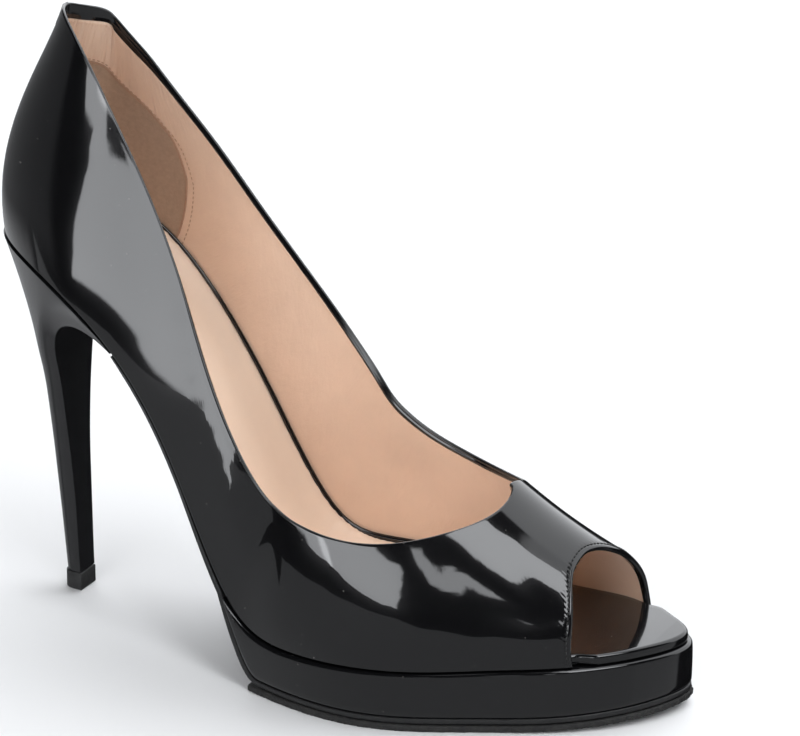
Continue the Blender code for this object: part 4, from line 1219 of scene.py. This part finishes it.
class PumpSizes(bpy.types.PropertyGroup):
    """Sizes of the pieces that are only looks, and how finely they are made."""
    wall: length("Wall", "Thickness of the upper with its lining", 0.0018)
    rim: length("Rim", "Radius of the roll at the topline", 0.00058)
    patent: length("Patent", "Thickness of the patent leather", 0.0008)
    lining_recess: length("Lining recess", "Step from the band down to the lining", 0.0002)
    sock_edge_height: level("Sock edge", "Height of the sock's edge on the wall", 0.10)
    piping_radius: length("Piping radius", "Unit of the rolled piping's radius", 0.001)
    heel_edge: length("Heel edge", "Rounding of the heel cover's edges", 0.0004)
    peep_steps: count("Peep steps", "Lines between the peep and the throat", 110)
    side_steps: count("Side steps", "Lines down each side of the upper", 170)
    rise_steps: count("Rise steps", "Faces up the wall", 46)


class PumpColours(bpy.types.PropertyGroup):
    """Colours of the leathers, the rubber and the thread."""
    patent: colour_setting("Patent", "Patent leather", (0.004, 0.004, 0.0045))
    lining: colour_setting("Lining", "Lining leather", (0.87, 0.64, 0.49))
    sock: colour_setting("Sock", "Sock leather", (0.90, 0.71, 0.56))
    suede: colour_setting("Suede", "Suede of the heel grip", (0.44, 0.30, 0.205))
    cover: colour_setting("Cover", "Heel cover, soles and tip", (0.010, 0.010, 0.011))


class PumpStudio(bpy.types.PropertyGroup):
    """Light and view of the studio."""
    floor: colour_setting("Floor", "Colour of the floor", (0.86, 0.86, 0.86))
    gain: level("Panels", "Brightness of the soft panels", 1.0)
    fill: level("Fill", "Brightness of the dark room", 0.012)
    top: level("Top light", "Radiance of the lamp over the floor", 0.9)
    side: level("Side light", "Radiance of the lamp at the side", 0.9)
    backdrop: level("Backdrop", "Brightness of the pale backdrop", 0.9)


def direction_degrees(tree, behind):
    """Azimuth from the front towards +X, or from behind, and elevation of a direction, in degrees."""
    source = tree.nodes.new("ShaderNodeTexCoord")
    split = tree.nodes.new("ShaderNodeSeparateXYZ")
    tree.links.new(source.outputs["Generated"], split.inputs["Vector"])
    across = maths(tree, "MULTIPLY", split.outputs["X"], -1.0 if behind else 1.0)
    ahead = maths(tree, "MULTIPLY", split.outputs["Y"], 1.0 if behind else -1.0)
    azimuth = maths(tree, "DEGREES", maths(tree, "ARCTAN2", across, ahead), 0.0)
    elevation = maths(tree, "DEGREES", maths(tree, "ARCSINE", split.outputs["Z"], 0.0), 0.0)
    return azimuth, elevation


def maths(tree, operation, first, second):
    """Math node with two inputs, each a socket or a number."""
    node = tree.nodes.new("ShaderNodeMath")
    node.operation = operation
    for place, value in enumerate((first, second)):
        if isinstance(value, (int, float)):
            node.inputs[place].default_value = value
        else:
            tree.links.new(value, node.inputs[place])
    return node.outputs["Value"]


def soft_step(tree, value, edge, soft):
    """Smooth step of a value across an edge."""
    node = tree.nodes.new("ShaderNodeMapRange")
    node.interpolation_type = "SMOOTHSTEP"
    node.inputs["From Min"].default_value = edge - soft
    node.inputs["From Max"].default_value = edge + soft
    tree.links.new(value, node.inputs["Value"])
    return node.outputs["Result"]


def glow_material(name, colour, strength):
    """Material that only shines."""
    material, shader, _ = new_material(name, (0.0, 0.0, 0.0), 1.0)
    shader.inputs["Specular IOR Level"].default_value = 0.0
    shader.inputs["Emission Color"].default_value = (*colour, 1.0)
    shader.inputs["Emission Strength"].default_value = strength
    return material


def add_card(name, corners, y, radiance):
    """Upright card before the shoe, seen in reflections only."""
    points = [np.array([x, y, z]) for x, z in corners]
    bm = bmesh.new()
    bm.faces.new([bm.verts.new(to_frame(point)) for point in points])
    bmesh.ops.triangulate(bm, faces=bm.faces)
    card = mesh_object(bm, name, glow_material(name + "_paper", COOL_WHITE, radiance))
    card.visible_camera = False
    card.visible_diffuse = False
    card.visible_shadow = False
    card.visible_transmission = False


def light_the_room(tree, gain, fill):
    """Brightness of the studio round the shoe: a dark room with soft panels, tables and a backdrop."""
    front = direction_degrees(tree, False)
    rear = direction_degrees(tree, True)
    total = None
    for row in PANEL_ROWS:
        panel = dict(zip(PANEL_COLUMNS, row))
        azimuth, elevation = rear if panel["behind"] else front
        slanted = maths(tree, "SUBTRACT", azimuth, maths(tree, "MULTIPLY", elevation, panel["slant"]))
        inside = soft_step(tree, slanted, panel["az_low"], panel["soft"])
        outside = soft_step(tree, slanted, panel["az_high"], panel["soft"])
        across = maths(tree, "SUBTRACT", inside, outside)
        above = soft_step(tree, elevation, panel["el_low"], panel["soft"])
        beyond = soft_step(tree, elevation, panel["el_high"], panel["soft"])
        up = maths(tree, "SUBTRACT", above, beyond)
        level = maths(tree, "MULTIPLY", maths(tree, "MULTIPLY", across, up), panel["radiance"])
        total = level if total is None else maths(tree, "ADD", total, level)
    return maths(tree, "ADD", maths(tree, "MULTIPLY", total, gain), fill)


def add_softbox(name, centre, target, width, height, radiance):
    """Rectangular area light facing a target, which doesn't show in reflections."""
    light = bpy.data.lights.new(name, "AREA")
    light.shape = "RECTANGLE"
    light.size = width
    light.size_y = height
    light.energy = radiance * width * height * math.pi
    item = bpy.data.objects.new(name, light)
    item.location = centre
    item.rotation_euler = (Vector(target) - Vector(centre)).to_track_quat("-Z", "Y").to_euler()
    item.visible_glossy = False
    item.visible_camera = False
    bpy.context.scene.collection.objects.link(item)
    return item


def make_floor(studio):
    """Wide pale floor that doesn't show in the reflections."""
    bm = bmesh.new()
    bmesh.ops.create_grid(bm, x_segments=1, y_segments=1, size=6.0)
    paper, shader, _ = new_material("pale_paper", tuple(studio.floor), 0.9)
    shader.inputs["Specular IOR Level"].default_value = 0.1
    floor = mesh_object(bm, "floor", paper)
    floor.visible_glossy = False


def make_backdrop(studio):
    """Pale sphere round the studio, seen by the camera alone."""
    bm = bmesh.new()
    bmesh.ops.create_uvsphere(bm, u_segments=48, v_segments=24, radius=5.8)
    bmesh.ops.reverse_faces(bm, faces=bm.faces)
    backdrop = mesh_object(bm, "backdrop", glow_material("pale_backdrop", (1.0, 1.0, 1.0), studio.backdrop))
    backdrop.visible_glossy = False
    backdrop.visible_diffuse = False
    backdrop.visible_shadow = False
    backdrop.visible_transmission = False


def add_camera():
    """Camera at the photograph's viewing angle, shifted as the photograph frames the shoe."""
    azimuth = math.radians(CAMERA_AZIMUTH)
    elevation = math.radians(CAMERA_ELEVATION)
    back = Vector((math.sin(azimuth) * math.cos(elevation), -math.cos(azimuth) * math.cos(elevation),
                   math.sin(elevation)))
    lens = bpy.data.cameras.new("camera")
    lens.sensor_width = SENSOR_WIDTH
    lens.lens = FOCAL_PIXELS / PICTURE_WIDTH * SENSOR_WIDTH
    lens.shift_x = (PICTURE_WIDTH / 2.0 - PICTURE_CENTRE_X) / PICTURE_WIDTH
    lens.shift_y = (PICTURE_CENTRE_Y - PICTURE_HEIGHT / 2.0) / PICTURE_WIDTH
    lens.clip_end = 20.0
    camera = bpy.data.objects.new("camera", lens)
    camera.location = Vector(to_frame(np.array(CAMERA_TARGET))) + back * CAMERA_DISTANCE
    camera.rotation_euler = back.to_track_quat("Z", "Y").to_euler()
    bpy.context.scene.collection.objects.link(camera)
    return camera


class PUMP_OT_upper(bpy.types.Operator):
    """Patent upper with its peep stitches, medial seam and back strip"""
    bl_idname = "pump.upper"
    bl_label = "Make upper"

    def execute(self, context):
        sizes = context.scene.pump_sizes
        colours = context.scene.pump_colours
        patent = patent_material("patent_leather", colours, 0.00045, 0.16)
        make_upper(sizes, patent)
        make_back_strip(patent)
        thread = satin_material("black_thread", (0.012, 0.012, 0.012), 0.45, 2500.0, 0.00004,
                                (0.03, 0.03, 0.03))
        make_upper_stitches(sizes, thread)
        return {"FINISHED"}


class PUMP_OT_lining(bpy.types.Operator):
    """Nude leather lining and the suede heel grip with its stitched edge"""
    bl_idname = "pump.lining"
    bl_label = "Make lining"

    def execute(self, context):
        sizes = context.scene.pump_sizes
        colours = context.scene.pump_colours
        deep = tuple(c * 0.86 for c in colours.lining)
        lining = leather_material("nude_leather", colours.lining, deep, 0.42, 0.00019)
        make_lining(sizes, lining)
        suede = suede_material("grip_suede", colours.suede, tuple(c * 0.8 for c in colours.suede))
        thread = satin_material("nude_thread", (0.55, 0.36, 0.25), 0.6, 2500.0, 0.00004, (0.45, 0.28, 0.18))
        edge = satin_material("cut_leather_edge", (0.46, 0.29, 0.2), 0.7, 1500.0, 0.00005,
                              (0.36, 0.22, 0.15))
        make_grip(sizes, suede, thread, edge)
        return {"FINISHED"}


class PUMP_OT_insole(bpy.types.Operator):
    """Wrapped insole with the ledge before the peep opening, the sock lining and its piping"""
    bl_idname = "pump.insole"
    bl_label = "Make insole and sock"

    def execute(self, context):
        sizes = context.scene.pump_sizes
        colours = context.scene.pump_colours
        make_insole(sizes, patent_material("patent_wrap", colours, 0.0004, 0.14))
        deep = tuple(c * 0.95 for c in colours.sock)
        sock = leather_material("sock_leather", colours.sock, deep, 0.4, 0.00006)
        piping = patent_material("rolled_piping", colours, 0.0001, 0.3)
        make_sock(sizes, sock, piping)
        return {"FINISHED"}


class PUMP_OT_platform(bpy.types.Operator):
    """Platform wrapped in patent leather"""
    bl_idname = "pump.platform"
    bl_label = "Make platform"

    def execute(self, context):
        make_platform(patent_material("platform_wrap", context.scene.pump_colours, 0.0003, 0.14))
        return {"FINISHED"}


class PUMP_OT_soles(bpy.types.Operator):
    """Leather outsole and rubber half sole"""
    bl_idname = "pump.soles"
    bl_label = "Make soles"

    def execute(self, context):
        cover = tuple(context.scene.pump_colours.cover)
        leather = satin_material("sole_leather", cover, 0.42, 900.0, 0.00004, (0.02, 0.02, 0.02))
        rubber = satin_material("sole_rubber", (0.014, 0.014, 0.0145), 0.78, 1200.0, 0.0003,
                                (0.035, 0.034, 0.032))
        make_soles(leather, rubber)
        return {"FINISHED"}


class PUMP_OT_heel(bpy.types.Operator):
    """Covered stiletto heel and its top piece"""
    bl_idname = "pump.heel"
    bl_label = "Make heel"

    def execute(self, context):
        cover = tuple(context.scene.pump_colours.cover)
        wrap = satin_material("heel_cover", cover, 0.2, 700.0, 0.00002, (0.014, 0.014, 0.015))
        tip = satin_material("tip_plastic", (0.013, 0.013, 0.013), 0.5, 1500.0, 0.0001, (0.03, 0.03, 0.03))
        make_heel(context.scene.pump_sizes, wrap, tip)
        return {"FINISHED"}


class PUMP_OT_stage(bpy.types.Operator):
    """Pale floor, studio softboxes and the camera"""
    bl_idname = "pump.stage"
    bl_label = "Set up stage"

    def execute(self, context):
        scene = context.scene
        studio = scene.pump_studio
        make_floor(studio)
        make_backdrop(studio)
        world = bpy.data.worlds.new("studio_air")
        scene.world = world
        world.use_nodes = True
        background = world.node_tree.nodes["Background"]
        background.inputs["Color"].default_value = (*COOL_WHITE, 1.0)
        strength = light_the_room(world.node_tree, studio.gain, studio.fill)
        world.node_tree.links.new(strength, background.inputs["Strength"])
        add_card("pale_card", PALE_CARD, PALE_CARD_Y, PALE_RADIANCE * studio.gain)
        add_card("black_card", BLACK_CARD, BLACK_CARD_Y, 0.0)
        middle = (0.0, 0.0, 0.06)
        add_softbox("over_softbox", (0.1, 0.3, 1.9), middle, 1.4, 1.0, studio.top)
        add_softbox("side_softbox", (0.35, -1.5, 1.5), middle, 1.5, 1.2, studio.side)
        scene.view_settings.view_transform = "Standard"
        scene.camera = add_camera()
        return {"FINISHED"}


class PUMP_PT_panel(bpy.types.Panel):
    """Buttons and settings of the pump in the 3D view's sidebar"""
    bl_idname = "PUMP_PT_panel"
    bl_label = "Peep Toe Pump"
    bl_space_type = "VIEW_3D"
    bl_region_type = "UI"
    bl_category = "Pump"

    def draw(self, context):
        layout = self.layout
        for group in (context.scene.pump_sizes, context.scene.pump_colours, context.scene.pump_studio):
            box = layout.box()
            for name in group.__annotations__:
                box.prop(group, name)
        for operator in OPERATORS:
            layout.operator(operator.bl_idname)


OPERATORS = (PUMP_OT_upper, PUMP_OT_lining, PUMP_OT_insole, PUMP_OT_platform, PUMP_OT_soles, PUMP_OT_heel,
             PUMP_OT_stage)
CLASSES = (PumpSizes, PumpColours, PumpStudio) + OPERATORS + (PUMP_PT_panel,)


def register():
    """Register the classes and hang the settings on the scene."""
    for item in CLASSES:
        bpy.utils.register_class(item)
    bpy.types.Scene.pump_sizes = bpy.props.PointerProperty(type=PumpSizes)
    bpy.types.Scene.pump_colours = bpy.props.PointerProperty(type=PumpColours)
    bpy.types.Scene.pump_studio = bpy.props.PointerProperty(type=PumpStudio)


def unregister():
    """Take the settings and the classes away again."""
    del bpy.types.Scene.pump_studio
    del bpy.types.Scene.pump_colours
    del bpy.types.Scene.pump_sizes
    for item in reversed(CLASSES):
        bpy.utils.unregister_class(item)


def main():
    """Build every piece and the stage."""
    register()
    bpy.ops.pump.upper()
    bpy.ops.pump.lining()
    bpy.ops.pump.insole()
    bpy.ops.pump.platform()
    bpy.ops.pump.soles()
    bpy.ops.pump.heel()
    bpy.ops.pump.stage()


if __name__ == "__main__":
    main()
